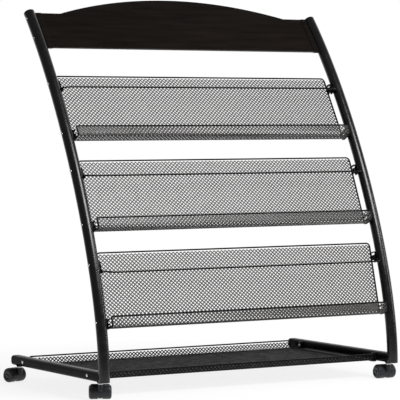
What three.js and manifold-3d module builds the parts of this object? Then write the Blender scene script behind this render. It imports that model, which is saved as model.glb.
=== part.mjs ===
// Mobile periodical display rack: two bowed uprights on caster rails carry three leaning mesh trays,
// a base tray and an arched header panel.
// Millimetres, +Z up, +X to the right, the front faces -Y. The origin is under the middle of the rack.
import * as THREE from "three";
import { mergeVertices } from "three/addons/utils/BufferGeometryUtils.js";
import Module from "manifold-3d";

// Uprights: round tubes, upright at the foot and leaning back at the head
const UPRIGHT_SPACING = 860; // between the axes of the two uprights
const UPRIGHT_HEIGHT = 904; // from the foot to the head of the axis
const UPRIGHT_SETBACK = 391; // how far the head lies behind the foot
const UPRIGHT_HEAD_LEAN = 39.7; // degrees from vertical at the head
const FOOT_ARM = 235; // control arm of the curve at the foot
const HEAD_ARM = 345; // control arm of the curve at the head
const TUBE_DIAMETER = 28;
const TUBE_WALL = 2;
const CAP_THICKNESS = 2.4;
const CAP_PLUG_LENGTH = 12;

// Header panel
const HEADER_DROP = 18; // along the upright, from its head to the upper header screw
const HEADER_SCREW_SPACING = 65;
const HEADER_BELOW_SCREW = 29; // lower edge, below the lower screw
const HEADER_SHOULDER = 83; // shoulder, above the lower screw
const HEADER_ARCH_RISE = 54.5;
const HEADER_SHOULDER_WIDTH = 73;
const HEADER_THICKNESS = 6;
const HEADER_STRIP_WIDTH = 18;
const HEADER_STRIP_DEPTH = 10;

// Leaning trays
const TRAY_NAMES = ["lower", "middle", "upper"];
const LOWEST_TRAY_STATION = 144.5; // along the upright, from its foot to the lowest tray's lower screw
const TRAY_HEADER_GAP = 37.5; // how much further the header's lower screw is than one more tray
const TRAY_SCREW_SPACING = 142;
const TRAY_END_GAP = 6.5; // from the rim wire's axis to the upright
const TRAY_TOP = 175; // top edge of the back, above the lower screw
const TRAY_FLOOR = -15; // floor of the pocket, below the lower screw
const TRAY_LIP_TOP = 10.5; // top edge of the front lip
const TRAY_BACK_SETBACK = 17; // back panel, behind the line of the screws
const TRAY_POCKET_DEPTH = 37; // from the back panel to the front lip
const TRAY_TOP_CORNER = 14;
const RIM_DIAMETER = 4;
const RIM_BEND = 8;
const RIM_CORNER = 3;
const SEAM_HALF = 1; // half the distance between the two ends of a rim wire
const MESH_THICKNESS = 1.4;
const MESH_CELLS_ACROSS = 12;
const MESH_CELL_RATIO = 0.89; // height of a mesh cell for its width
const MESH_OPEN_SHARE = 0.47; // share of a cell that is open
const BRACKET_ABOVE_SCREW = 8;
const UPPER_BRACKET_BELOW_SCREW = 24;
const LOWER_BRACKET_BELOW_SCREW = 18;
const BRACKET_FORWARD = 7; // in front of the line of the screws
const KEEPER_DIAMETER = 4;
const KEEPER_FORWARD = 30; // in front of the line of the screws
const KEEPER_DROP = 25; // below the upper screw
const KEEPER_END_DROP = 18; // ends, below the upper screw
const KEEPER_BEND = 8;
const KEEPER_INSET = 10; // run starts this far in from the rim

// Base rails and base tray
const RAIL_REACH = 463; // from the upright's axis to the rail's rear end
const RAIL_WIDTH = 28;
const RAIL_HEIGHT = 25;
const RAIL_DROP = 1; // underside, below the upright's foot
const RAIL_CORNER = 8;
const RAIL_WALL = 2;
const RAIL_PLUG_LENGTH = 12;
const RAIL_PLUG_INSERT = 5;
const BASE_TRAY_FRONT = 55; // front lip, behind the upright's axis
const BASE_TRAY_REAR_GAP = 15; // back wall, in front of the rail's rear end
const BASE_TRAY_END_GAP = 9; // from the rim wire's axis to the rail
const BASE_TRAY_FLOOR = 1.5; // above the rail's underside
const BASE_LIP_HEIGHT = 16;
const BASE_BACK_HEIGHT = 19.5;
const BASE_FRONT_SCREW_INSET = 6; // behind the front lip
const BASE_REAR_SCREW_INSET = 41; // in front of the back wall
const BASE_BRACKET_WIDTH = 18;

// Casters. A heading is the plan angle from +X of the way from the stem to the axle.
const WHEEL_DIAMETER = 35;
const WHEEL_WIDTH = 22;
const WHEEL_ROUNDING = 6; // outer shoulder
const WHEEL_INNER_CHAMFER = 1.2;
const HUB_RADIUS = 8;
const HUB_RECESS = 1.5;
const AXLE_DIAMETER = 6;
const AXLE_GRIP = 14; // length of the axle inside one wheel
const CASTER_TRAIL = 18; // from the stem's axis to the axle
const HOOD_WEB = 10; // thickness of the hood between the wheels
const HOOD_WEB_RADIUS = 16.3; // round the axle, below the fender
const HOOD_WALL = 1.4;
const HOOD_REAR_ANGLE = 25; // where the fender ends behind, degrees above the axle
const HOOD_FRONT_ANGLE = 25; // where the fender ends in front, degrees below the axle
const HOOD_INSET = 5; // side edge of the fender, in from the wheel's outer face
const SOCKET_DIAMETER = 14;
const SOCKET_HEIGHT = 16.5;
const STEM_DIAMETER = 7;
const STEM_PIN = 15; // length of the pin inside the hood
const STEM_GRIP = 12; // length of thread above the rail's underside
const COLLAR_DIAMETER = 13;
const COLLAR_HEIGHT = 3.2;
const BOSS_DIAMETER = 18; // under the rail
const BOSS_END_DIAMETER = 14;
const BOSS_DROP = 3; // below the rail's underside
const FRONT_STEM_SETBACK = 19; // behind the upright's axis
const REAR_STEM_INSET = 11; // from the rail's rear end
const CASTERS = [
  { name: "front_left", side: -1, rear: false, heading: 63.7 },
  { name: "front_right", side: 1, rear: false, heading: 87.6 },
  { name: "rear_left", side: -1, rear: true, heading: 108.7 },
  { name: "rear_right", side: 1, rear: true, heading: 71.3 },
];

// Screws
const SCREW_DIAMETER = 5;
const SCREW_HEAD_DIAMETER = 8;
const SCREW_HEAD_HEIGHT = 2.6;
const SCREW_CROWN_REACH = 0.6; // of the head's radius
const SCREW_CROWN_RISE = 0.85; // of the head's height
const SCREW_EDGE_RISE = 0.3; // of the head's height
const SCREW_BITE = 5.5; // length inside the bracket or strip
const SCREW_TIP = 2; // depth of the blind hole past the screw's end

// Fits
const SEAT_GAP = 0.3; // between pieces that rest on each other
const PLUG_GAP = 0.8; // between a plug and the curved tube round it
const RUNNING_GAP = 0.8; // between a wheel and its hood
const MESH_GAP = 0.6; // between the mesh and its rim wire

// Facets
const TUBE_SIDES = 12;
const TUBE_STEPS = 14;
const WIRE_SIDES = 6;
const BEND_STEPS = 2;
const RAIL_STEPS = 1;
const WHEEL_SIDES = 16;
const HOOD_SIDES = 24;
const SCREW_SIDES = 8;
const ARCH_STEPS = 16;

// Sizes worked out from the driving dimensions
const uprightX = UPRIGHT_SPACING / 2;
const tubeRadius = TUBE_DIAMETER / 2;
const wheelRadius = WHEEL_DIAMETER / 2;
const fenderRadius = wheelRadius + RUNNING_GAP;
const hoodTop = wheelRadius + fenderRadius + HOOD_WALL;
const bossBottom = hoodTop + SEAT_GAP + COLLAR_HEIGHT + SEAT_GAP;
const railUnderside = bossBottom + BOSS_DROP;
const footHeight = railUnderside + RAIL_DROP;
const innerFace = uprightX - tubeRadius;
const rimHalfWidth = innerFace - TRAY_END_GAP;
const railInnerFace = uprightX - RAIL_WIDTH / 2;
const baseRimHalfWidth = railInnerFace - BASE_TRAY_END_GAP;
const rearStemSetback = RAIL_REACH - REAR_STEM_INSET;
const baseTrayBack = RAIL_REACH - BASE_TRAY_REAR_GAP;
const wireRadius = RIM_DIAMETER / 2;
const bracketGrip = wireRadius + SEAT_GAP;

// Materials
const gloss = { roughness: 0.3, metalness: 0.1 };
const blackPaint = new THREE.MeshStandardMaterial({ color: 0x1a1819, ...gloss });
const headerPaint = new THREE.MeshStandardMaterial({ color: 0x1d1918, roughness: 0.55 });
const blackMesh = new THREE.MeshStandardMaterial({ color: 0x232122, roughness: 0.5, metalness: 0.3 });
const blackPlastic = new THREE.MeshStandardMaterial({ color: 0x1c1d20, roughness: 0.45 });
const zinc = new THREE.MeshStandardMaterial({ color: 0xc9ccd1, roughness: 0.3, metalness: 1 });
const steel = new THREE.MeshStandardMaterial({ color: 0xb4b8be, roughness: 0.35, metalness: 1 });

const wasm = await Module();
wasm.setup();

// Closed geometry to a solid and back
function toSolid(geometry) {
  const bare = geometry.clone();
  bare.deleteAttribute("normal");
  bare.deleteAttribute("uv");
  const merged = mergeVertices(bare, 1e-4);
  const vertProperties = merged.attributes.position.array;
  const triVerts = new Uint32Array(merged.index.array);
  return new wasm.Manifold(new wasm.Mesh({ numProp: 3, vertProperties, triVerts }));
}

function toGeometry(solid) {
  const mesh = solid.getMesh();
  const geometry = new THREE.BufferGeometry();
  geometry.setAttribute("position", new THREE.BufferAttribute(mesh.vertProperties, mesh.numProp));
  geometry.setIndex(new THREE.BufferAttribute(mesh.triVerts, 1));
  geometry.computeVertexNormals();
  return geometry;
}

// First geometry with the others joined to it, and with the tools cut out of it
function joined(first, ...others) {
  return toGeometry(others.reduce((solid, next) => solid.add(toSolid(next)), toSolid(first)));
}

function cutBy(first, ...tools) {
  return toGeometry(tools.reduce((solid, next) => solid.subtract(toSolid(next)), toSolid(first)));
}

function kept(first, limit) {
  return toGeometry(toSolid(first).intersect(toSolid(limit)));
}

// A path that takes one step from each of its points to the next
class PointPath extends THREE.Curve {
  constructor(points) {
    super();
    this.points = points;
  }

  getPoint(t, target = new THREE.Vector3()) {
    const last = this.points.length - 1;
    const place = THREE.MathUtils.clamp(t, 0, 1) * last;
    const index = Math.min(Math.floor(place), last - 1);
    return target.lerpVectors(this.points[index], this.points[index + 1], place - index);
  }

  getPointAt(u, target) {
    return this.getPoint(u, target);
  }

  getTangentAt(u, target) {
    return this.getTangent(u, target);
  }
}

// Points of a wire through its corners, each [x, y, z, bend radius]
function bentPoints(corners) {
  const places = corners.map(([x, y, z]) => new THREE.Vector3(x, y, z));
  const points = [places[0]];
  for (let i = 1; i < places.length - 1; i++) {
    const corner = places[i];
    const bend = corners[i][3];
    const before = places[i - 1].clone().sub(corner).setLength(bend).add(corner);
    const after = places[i + 1].clone().sub(corner).setLength(bend).add(corner);
    points.push(...new THREE.QuadraticBezierCurve3(before, corner, after).getPoints(BEND_STEPS));
  }
  points.push(places[places.length - 1]);
  return points;
}

function round(radius) {
  return new THREE.Shape().absarc(0, 0, radius, 0, 2 * Math.PI);
}

// Round wire bent through its corners
function wire(corners, diameter) {
  const points = bentPoints(corners);
  return new THREE.ExtrudeGeometry(round(diameter / 2), {
    steps: points.length - 1,
    extrudePath: new PointPath(points),
    bevelEnabled: false,
    curveSegments: WIRE_SIDES / 2,
  });
}

// Round bar along one axis, from one place on it to another
function bar(axis, radius, from, to, a, b, sides = SCREW_SIDES) {
  const geometry = new THREE.CylinderGeometry(radius, radius, to - from, sides);
  const middle = (from + to) / 2;
  if (axis === "x") return geometry.rotateZ(Math.PI / 2).translate(middle, a, b);
  if (axis === "y") return geometry.translate(a, middle, b);
  return geometry.rotateX(Math.PI / 2).translate(a, b, middle);
}

// Box between two values on each axis
function block([x0, x1], [y0, y1], [z0, z1]) {
  const geometry = new THREE.BoxGeometry(Math.abs(x1 - x0), y1 - y0, z1 - z0);
  return geometry.translate((x0 + x1) / 2, (y0 + y1) / 2, (z0 + z1) / 2);
}

// Shape drawn in X and Z, and made solid between two values of Y
function frontSolid(shape, front, rear, curveSegments) {
  const geometry = new THREE.ExtrudeGeometry(shape, {
    depth: rear - front,
    bevelEnabled: false,
    curveSegments,
  });
  return geometry.rotateX(Math.PI / 2).translate(0, rear, 0);
}

// Shape drawn in Y and Z, and made solid between two values of X
function sideSolid(shape, left, right, curveSegments) {
  const geometry = new THREE.ExtrudeGeometry(shape, {
    depth: right - left,
    bevelEnabled: false,
    curveSegments,
  });
  const turn = new THREE.Matrix4().makeBasis(
    new THREE.Vector3(0, 1, 0),
    new THREE.Vector3(0, 0, 1),
    new THREE.Vector3(1, 0, 0),
  );
  return geometry.applyMatrix4(turn).translate(left, 0, 0);
}

// Shape drawn in X and Y, and made solid between two values of Z
function floorSolid(shape, low, high) {
  const geometry = new THREE.ExtrudeGeometry(shape, { depth: high - low, bevelEnabled: false });
  return geometry.translate(0, 0, low);
}

// Rectangle with round corners, centred on the origin
function roundedRectangle(width, height, corner) {
  const w = width / 2 - corner;
  const h = height / 2 - corner;
  const quarter = Math.PI / 2;
  const shape = new THREE.Shape();
  shape.absarc(w, h, corner, 0, quarter);
  shape.absarc(-w, h, corner, quarter, 2 * quarter);
  shape.absarc(-w, -h, corner, 2 * quarter, 3 * quarter);
  shape.absarc(w, -h, corner, 3 * quarter, 4 * quarter);
  return shape;
}

const rack = new THREE.Group();

function addPiece(parent, name, geometry, material) {
  const mesh = new THREE.Mesh(geometry, material);
  mesh.name = name;
  parent.add(mesh);
  return mesh;
}

// The axis of an upright, in the plane X = x
function uprightAxis(x) {
  const lean = THREE.MathUtils.degToRad(UPRIGHT_HEAD_LEAN);
  const headY = UPRIGHT_SETBACK;
  const headZ = footHeight + UPRIGHT_HEIGHT;
  return new THREE.CubicBezierCurve3(
    new THREE.Vector3(x, 0, footHeight),
    new THREE.Vector3(x, 0, footHeight + FOOT_ARM),
    new THREE.Vector3(x, headY - HEAD_ARM * Math.sin(lean), headZ - HEAD_ARM * Math.cos(lean)),
    new THREE.Vector3(x, headY, headZ),
  );
}

const midAxis = uprightAxis(0);
const uprightLength = midAxis.getLength();

function pointAtStation(station) {
  return midAxis.getPointAt(station / uprightLength);
}

// A leaning frame through two screws: its origin at the lower one, its Z towards the upper one
function leaningFrame(station, spacing) {
  const lower = pointAtStation(station);
  const upper = pointAtStation(station + spacing);
  const chord = upper.clone().sub(lower);
  const group = new THREE.Group();
  group.position.copy(lower);
  group.rotation.x = -Math.atan2(chord.y, chord.z);
  return { group, lower, upper, chord: chord.length() };
}

const headerStation = uprightLength - HEADER_DROP - HEADER_SCREW_SPACING;
const trayPitch = (headerStation - TRAY_HEADER_GAP - LOWEST_TRAY_STATION) / TRAY_NAMES.length;
const headerFrame = leaningFrame(headerStation, HEADER_SCREW_SPACING);
const trayFrames = TRAY_NAMES.map((name, i) => {
  return { name, ...leaningFrame(LOWEST_TRAY_STATION + i * trayPitch, TRAY_SCREW_SPACING) };
});

// Every screw that goes through an upright, with the name of what it holds
const uprightScrews = [
  ...trayFrames.flatMap(({ name, lower, upper }) => [
    { name: `${name}_tray_lower`, at: lower },
    { name: `${name}_tray_upper`, at: upper },
  ]),
  { name: "header_lower", at: headerFrame.lower },
  { name: "header_upper", at: headerFrame.upper },
];

const baseScrewZ = railUnderside + RAIL_HEIGHT / 2;
const railScrews = [
  { name: "base_front", at: new THREE.Vector3(0, BASE_TRAY_FRONT + BASE_FRONT_SCREW_INSET, baseScrewZ) },
  { name: "base_rear", at: new THREE.Vector3(0, baseTrayBack - BASE_REAR_SCREW_INSET, baseScrewZ) },
];

const holeRadius = SCREW_DIAMETER / 2 + SEAT_GAP;

// Holes across a tube for screws, along X
function crossHoles(x, reach, screws) {
  return screws.map(({ at }) => bar("x", holeRadius, x - reach, x + reach, at.y, at.z));
}

function addUpright(side, name) {
  const x = side * uprightX;
  const section = round(tubeRadius);
  section.holes.push(new THREE.Path().absarc(0, 0, tubeRadius - TUBE_WALL, 0, 2 * Math.PI, true));
  const axis = uprightAxis(x);
  const tube = new THREE.ExtrudeGeometry(section, {
    steps: TUBE_STEPS,
    extrudePath: axis,
    bevelEnabled: false,
    curveSegments: TUBE_SIDES / 2,
  });
  addPiece(rack, `${name}_upright`, cutBy(tube, ...crossHoles(x, TUBE_DIAMETER, uprightScrews)), blackPaint);
}

// A plug in the head of an upright with a cap of the tube's own diameter
function addUprightCap(side, name) {
  const plugRadius = tubeRadius - TUBE_WALL - PLUG_GAP;
  const profile = [
    new THREE.Vector2(0, -CAP_PLUG_LENGTH),
    new THREE.Vector2(plugRadius, -CAP_PLUG_LENGTH),
    new THREE.Vector2(plugRadius, SEAT_GAP),
    new THREE.Vector2(tubeRadius, SEAT_GAP),
    new THREE.Vector2(tubeRadius, CAP_THICKNESS / 2),
    new THREE.Vector2(plugRadius, CAP_THICKNESS),
    new THREE.Vector2(0, CAP_THICKNESS),
  ];
  const turnedCap = new THREE.LatheGeometry(profile, TUBE_SIDES);
  const cap = addPiece(rack, `${name}_upright_cap`, turnedCap, blackPlastic);
  const axis = uprightAxis(side * uprightX);
  cap.position.copy(axis.getPointAt(1));
  cap.quaternion.setFromUnitVectors(new THREE.Vector3(0, 1, 0), axis.getTangentAt(1));
}

const railZ = railUnderside + RAIL_HEIGHT / 2;
const stemSetbacks = [FRONT_STEM_SETBACK, rearStemSetback];
const stemHoleRadius = STEM_DIAMETER / 2 + SEAT_GAP;

// A rail runs back from the upright's foot, coped round it, with a boss under it for each stem
function addRail(side, name) {
  const x = side * uprightX;
  const section = roundedRectangle(RAIL_WIDTH, RAIL_HEIGHT, RAIL_CORNER);
  const bore = roundedRectangle(
    RAIL_WIDTH - 2 * RAIL_WALL,
    RAIL_HEIGHT - 2 * RAIL_WALL,
    RAIL_CORNER - RAIL_WALL,
  );
  section.holes.push(new THREE.Path(bore.getPoints(RAIL_STEPS).reverse()));
  const tube = frontSolid(section, 0, RAIL_REACH, RAIL_STEPS).translate(x, 0, railZ);
  const bossHeight = BOSS_DROP + RAIL_DROP / 2;
  const bosses = stemSetbacks.map((y) => {
    const boss = new THREE.CylinderGeometry(BOSS_DIAMETER / 2, BOSS_END_DIAMETER / 2, bossHeight, TUBE_SIDES);
    return boss.rotateX(Math.PI / 2).translate(x, y, bossBottom + bossHeight / 2);
  });
  const bores = stemSetbacks.map((y) => {
    return bar("z", stemHoleRadius, bossBottom - BOSS_DROP, railUnderside + STEM_GRIP, x, y, TUBE_SIDES);
  });
  const cope = new THREE.ExtrudeGeometry(round(tubeRadius + SEAT_GAP), {
    steps: TUBE_STEPS,
    extrudePath: uprightAxis(x),
    bevelEnabled: false,
    curveSegments: TUBE_SIDES / 2,
  });
  const screwHoles = crossHoles(x, RAIL_WIDTH, railScrews);
  const rail = cutBy(joined(tube, ...bosses), cope, ...bores, ...screwHoles);
  addPiece(rack, `${name}_base_rail`, rail, blackPaint);
}

// Rear plug of a rail: an insert and a cap with a drawn-in end
function addRailPlug(side, name) {
  const x = side * uprightX;
  const start = RAIL_REACH + SEAT_GAP;
  const end = RAIL_REACH + RAIL_PLUG_LENGTH;
  const inset = RAIL_WALL + SEAT_GAP;
  const capShape = roundedRectangle(RAIL_WIDTH, RAIL_HEIGHT, RAIL_CORNER);
  const endShape = roundedRectangle(RAIL_WIDTH - 2 * inset, RAIL_HEIGHT - 2 * inset, RAIL_CORNER - inset);
  const shoulder = end - inset;
  const insert = frontSolid(endShape, RAIL_REACH - RAIL_PLUG_INSERT, end, RAIL_STEPS);
  const cap = frontSolid(capShape, start, shoulder, RAIL_STEPS);
  const plug = joined(cap, insert).translate(x, 0, railZ);
  addPiece(rack, `${name}_rail_plug`, plug, blackPlastic);
}

// Outline of the header panel, with a low arch between two shoulders
function headerOutline(halfWidth) {
  const archHalf = halfWidth - HEADER_SHOULDER_WIDTH;
  const archRadius = (archHalf ** 2 + HEADER_ARCH_RISE ** 2) / (2 * HEADER_ARCH_RISE);
  const archAngle = Math.asin(archHalf / archRadius);
  const archCentre = HEADER_SHOULDER + HEADER_ARCH_RISE - archRadius;
  const up = Math.PI / 2;
  const shape = new THREE.Shape();
  shape.moveTo(-halfWidth, -HEADER_BELOW_SCREW);
  shape.lineTo(halfWidth, -HEADER_BELOW_SCREW);
  shape.lineTo(halfWidth, HEADER_SHOULDER);
  shape.lineTo(archHalf, HEADER_SHOULDER);
  shape.absarc(0, archCentre, archRadius, up - archAngle, up + archAngle);
  shape.lineTo(-halfWidth, HEADER_SHOULDER);
  return shape;
}

// Blind hole for the end of a screw in a bracket or strip, from its outer face
function screwSocket(side, face, y, z) {
  const reach = SCREW_BITE + SCREW_TIP;
  const from = side > 0 ? face - reach : -face - SCREW_TIP;
  const to = side > 0 ? face + SCREW_TIP : -face + reach;
  return bar("x", holeRadius, from, to, y, z);
}

function addHeader() {
  const { group, chord } = headerFrame;
  const halfWidth = innerFace - SEAT_GAP;
  const panel = frontSolid(
    headerOutline(halfWidth),
    -HEADER_THICKNESS / 2,
    HEADER_THICKNESS / 2,
    ARCH_STEPS / 2,
  );
  const strips = [-1, 1].map((side) => {
    const outer = side * halfWidth;
    return block(
      [outer, outer - side * HEADER_STRIP_WIDTH],
      [-HEADER_STRIP_DEPTH / 2, HEADER_STRIP_DEPTH / 2],
      [-HEADER_BELOW_SCREW, HEADER_SHOULDER],
    );
  });
  const sockets = [-1, 1].flatMap((side) => [
    screwSocket(side, halfWidth, 0, 0),
    screwSocket(side, halfWidth, 0, chord),
  ]);
  addPiece(group, "header_panel", cutBy(joined(panel, ...strips), ...sockets), headerPaint);
  rack.add(group);
}

// Section of a bent tray: a back, a floor and a front lip, as one sheet
function traySection({ back, front, floor, backTop, lipTop }) {
  const half = MESH_THICKNESS / 2;
  const outer = RIM_BEND + half;
  const inner = RIM_BEND - half;
  const bendZ = floor + RIM_BEND;
  const quarter = Math.PI / 2;
  const shape = new THREE.Shape();
  shape.moveTo(back + half, backTop);
  shape.lineTo(back + half, bendZ);
  shape.absarc(back - RIM_BEND, bendZ, outer, 0, -quarter, true);
  shape.absarc(front + RIM_BEND, bendZ, outer, -quarter, -2 * quarter, true);
  shape.lineTo(front - half, lipTop);
  shape.lineTo(front + half, lipTop);
  shape.absarc(front + RIM_BEND, bendZ, inner, -2 * quarter, -quarter);
  shape.absarc(back - RIM_BEND, bendZ, inner, -quarter, 0);
  shape.lineTo(back - half, backTop);
  return shape;
}

// Outline of a tray from the front, with round upper corners
function trayOutline(halfWidth, bottom, top, corner) {
  const quarter = Math.PI / 2;
  const shape = new THREE.Shape();
  shape.moveTo(-halfWidth, bottom);
  shape.lineTo(halfWidth, bottom);
  shape.absarc(halfWidth - corner, top - corner, corner, 0, quarter);
  shape.absarc(corner - halfWidth, top - corner, corner, quarter, 2 * quarter);
  return shape;
}

// Diamond openings of the mesh, in staggered rows over a flat stretch as wide as the sheet
function meshOpenings(halfWidth, from, to) {
  const cellWidth = (2 * halfWidth) / MESH_CELLS_ACROSS;
  const rowsThatFit = Math.floor((2 * (to - from)) / (cellWidth * MESH_CELL_RATIO));
  const rowStep = (to - from) / rowsThatFit;
  const openShare = Math.sqrt(MESH_OPEN_SHARE);
  const reachAcross = (openShare * cellWidth) / 2;
  const reachAlong = openShare * rowStep;
  const openings = [];
  for (let row = 1; row < rowsThatFit; row++) {
    const cells = row % 2 === 1 ? MESH_CELLS_ACROSS : MESH_CELLS_ACROSS - 1;
    for (let cell = 0; cell < cells; cell++) {
      const across = (cell - (cells - 1) / 2) * cellWidth;
      const along = from + row * rowStep;
      const diamond = new THREE.Shape();
      diamond.moveTo(across, along - reachAlong);
      diamond.lineTo(across + reachAcross, along);
      diamond.lineTo(across, along + reachAlong);
      diamond.lineTo(across - reachAcross, along);
      openings.push(diamond);
    }
  }
  return openings;
}

// Mesh sheet of a tray, just inside its rim wire
function traySheet(tray, halfWidth, topCorner) {
  const edge = wireRadius + MESH_GAP;
  const section = traySection({ ...tray, backTop: tray.backTop - edge, lipTop: tray.lipTop - edge });
  const sheet = sideSolid(section, edge - halfWidth, halfWidth - edge, BEND_STEPS / 2);
  const outline = trayOutline(
    halfWidth - edge,
    tray.floor - RIM_DIAMETER,
    tray.backTop - edge,
    topCorner - edge,
  );
  const limit = frontSolid(outline, tray.front - RIM_DIAMETER, tray.back + RIM_DIAMETER, BEND_STEPS);
  const trimmed = kept(sheet, limit);
  const inBack = meshOpenings(halfWidth - edge, tray.floor + RIM_BEND, tray.backTop - edge);
  const inFloor = meshOpenings(halfWidth - edge, tray.front + RIM_BEND, tray.back - RIM_BEND);
  const depth = MESH_THICKNESS;
  return cutBy(
    trimmed,
    ...inBack.map((shape) => frontSolid(shape, tray.back - depth, tray.back + depth, 1)),
    ...inFloor.map((shape) => floorSolid(shape, tray.floor - depth, tray.floor + depth)),
  );
}

// Rim wire along every edge of a tray. Its two ends meet inside a bracket at the seam.
function trayRim(tray, halfWidth, topCorner, seam) {
  const { back, front, floor, backTop, lipTop } = tray;
  const left = -halfWidth;
  const right = halfWidth;
  const [before, after] = seam;
  const corners = [
    before,
    [left, back, floor, RIM_BEND],
    [left, front, floor, RIM_BEND],
    [left, front, lipTop, RIM_CORNER],
    [right, front, lipTop, RIM_CORNER],
    [right, front, floor, RIM_BEND],
    [right, back, floor, RIM_BEND],
    [right, back, backTop, topCorner],
    [left, back, backTop, topCorner],
    after,
  ];
  return wire(corners, RIM_DIAMETER);
}

function addTray({ name, group, chord }) {
  const tray = {
    back: TRAY_BACK_SETBACK,
    front: TRAY_BACK_SETBACK - TRAY_POCKET_DEPTH,
    floor: TRAY_FLOOR,
    backTop: TRAY_TOP,
    lipTop: TRAY_LIP_TOP,
  };
  const seam = [
    [-rimHalfWidth, tray.back, -SEAM_HALF],
    [-rimHalfWidth, tray.back, SEAM_HALF],
  ];
  const rim = trayRim(tray, rimHalfWidth, TRAY_TOP_CORNER, seam);
  const face = innerFace - SEAT_GAP;
  const depth = [-BRACKET_FORWARD, tray.back + bracketGrip];
  const screws = [
    { z: 0, below: LOWER_BRACKET_BELOW_SCREW },
    { z: chord, below: UPPER_BRACKET_BELOW_SCREW },
  ];
  const brackets = [-1, 1].flatMap((side) =>
    screws.map(({ z, below }) => {
      const across = [side * (rimHalfWidth - bracketGrip), side * face];
      return block(across, depth, [z - below, z + BRACKET_ABOVE_SCREW]);
    }),
  );
  const sockets = [-1, 1].flatMap((side) => screws.map(({ z }) => screwSocket(side, face, 0, z)));
  addPiece(group, `${name}_tray_mesh`, traySheet(tray, rimHalfWidth, TRAY_TOP_CORNER), blackMesh);
  addPiece(group, `${name}_tray_rim`, cutBy(joined(rim, ...brackets), ...sockets), blackPaint);
  addPiece(group, `${name}_keeper_wire`, keeper(chord), blackPaint);
  rack.add(group);
}

// Keeper wire: from the front of one upper bracket, forward, across and back to the other
function keeper(chord) {
  const endX = rimHalfWidth + TRAY_END_GAP / 2;
  const runX = rimHalfWidth - KEEPER_INSET;
  const endZ = chord - KEEPER_END_DROP;
  const runZ = chord - KEEPER_DROP;
  const endY = -BRACKET_FORWARD - SEAT_GAP;
  const corners = [
    [-endX, endY, endZ],
    [-endX, endY - KEEPER_BEND, endZ, KEEPER_BEND / 2],
    [-runX, -KEEPER_FORWARD, runZ, KEEPER_BEND],
    [runX, -KEEPER_FORWARD, runZ, KEEPER_BEND],
    [endX, endY - KEEPER_BEND, endZ, KEEPER_BEND / 2],
    [endX, endY, endZ],
  ];
  return wire(corners, KEEPER_DIAMETER);
}

function addBaseTray() {
  const floor = railUnderside + BASE_TRAY_FLOOR;
  const tray = {
    back: baseTrayBack,
    front: BASE_TRAY_FRONT,
    floor,
    backTop: floor + BASE_BACK_HEIGHT,
    lipTop: floor + BASE_LIP_HEIGHT,
  };
  const seamY = railScrews[1].at.y;
  const corner = BASE_BACK_HEIGHT / 2;
  const { back, front, backTop, lipTop } = tray;
  const left = -baseRimHalfWidth;
  const right = baseRimHalfWidth;
  const rim = wire(
    [
      [left, seamY - SEAM_HALF, floor],
      [left, front, floor, RIM_BEND],
      [left, front, lipTop, RIM_CORNER],
      [right, front, lipTop, RIM_CORNER],
      [right, front, floor, RIM_BEND],
      [right, back, floor, RIM_BEND],
      [right, back, backTop, corner],
      [left, back, backTop, corner],
      [left, back, floor, RIM_BEND],
      [left, seamY + SEAM_HALF, floor],
    ],
    RIM_DIAMETER,
  );
  const face = railInnerFace - SEAT_GAP;
  const half = BASE_BRACKET_WIDTH / 2;
  const brackets = [-1, 1].flatMap((side) =>
    railScrews.map(({ at }) => {
      const across = [side * (baseRimHalfWidth - bracketGrip), side * face];
      return block(across, [at.y - half, at.y + half], [floor - bracketGrip, baseScrewZ + half]);
    }),
  );
  const sockets = [-1, 1].flatMap((side) => railScrews.map(({ at }) => screwSocket(side, face, at.y, at.z)));
  addPiece(rack, "base_tray_mesh", traySheet(tray, baseRimHalfWidth, corner), blackMesh);
  addPiece(rack, "base_tray_rim", cutBy(joined(rim, ...brackets), ...sockets), blackPaint);
}

// Dome-head screw along +X, with the underside of its head at the origin
function screwGeometry(length) {
  const radius = SCREW_DIAMETER / 2;
  const head = SCREW_HEAD_DIAMETER / 2;
  const profile = [
    new THREE.Vector2(0, -SCREW_HEAD_HEIGHT),
    new THREE.Vector2(head * SCREW_CROWN_REACH, -SCREW_HEAD_HEIGHT * SCREW_CROWN_RISE),
    new THREE.Vector2(head, -SCREW_HEAD_HEIGHT * SCREW_EDGE_RISE),
    new THREE.Vector2(head, 0),
    new THREE.Vector2(radius, 0),
    new THREE.Vector2(radius, length),
    new THREE.Vector2(0, length),
  ];
  return new THREE.LatheGeometry(profile, SCREW_SIDES).rotateZ(-Math.PI / 2);
}

function addScrews(screws, outerReach) {
  const length = 2 * outerReach + 2 * SEAT_GAP + SCREW_BITE;
  for (const [side, sideName] of [[-1, "left"], [1, "right"]]) {
    for (const { name, at } of screws) {
      const screw = addPiece(rack, `${name}_${sideName}_screw`, screwGeometry(length), zinc);
      screw.position.set(side * (uprightX + outerReach + SEAT_GAP), at.y, at.z);
      screw.rotation.z = side > 0 ? Math.PI : 0;
    }
  }
}

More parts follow.
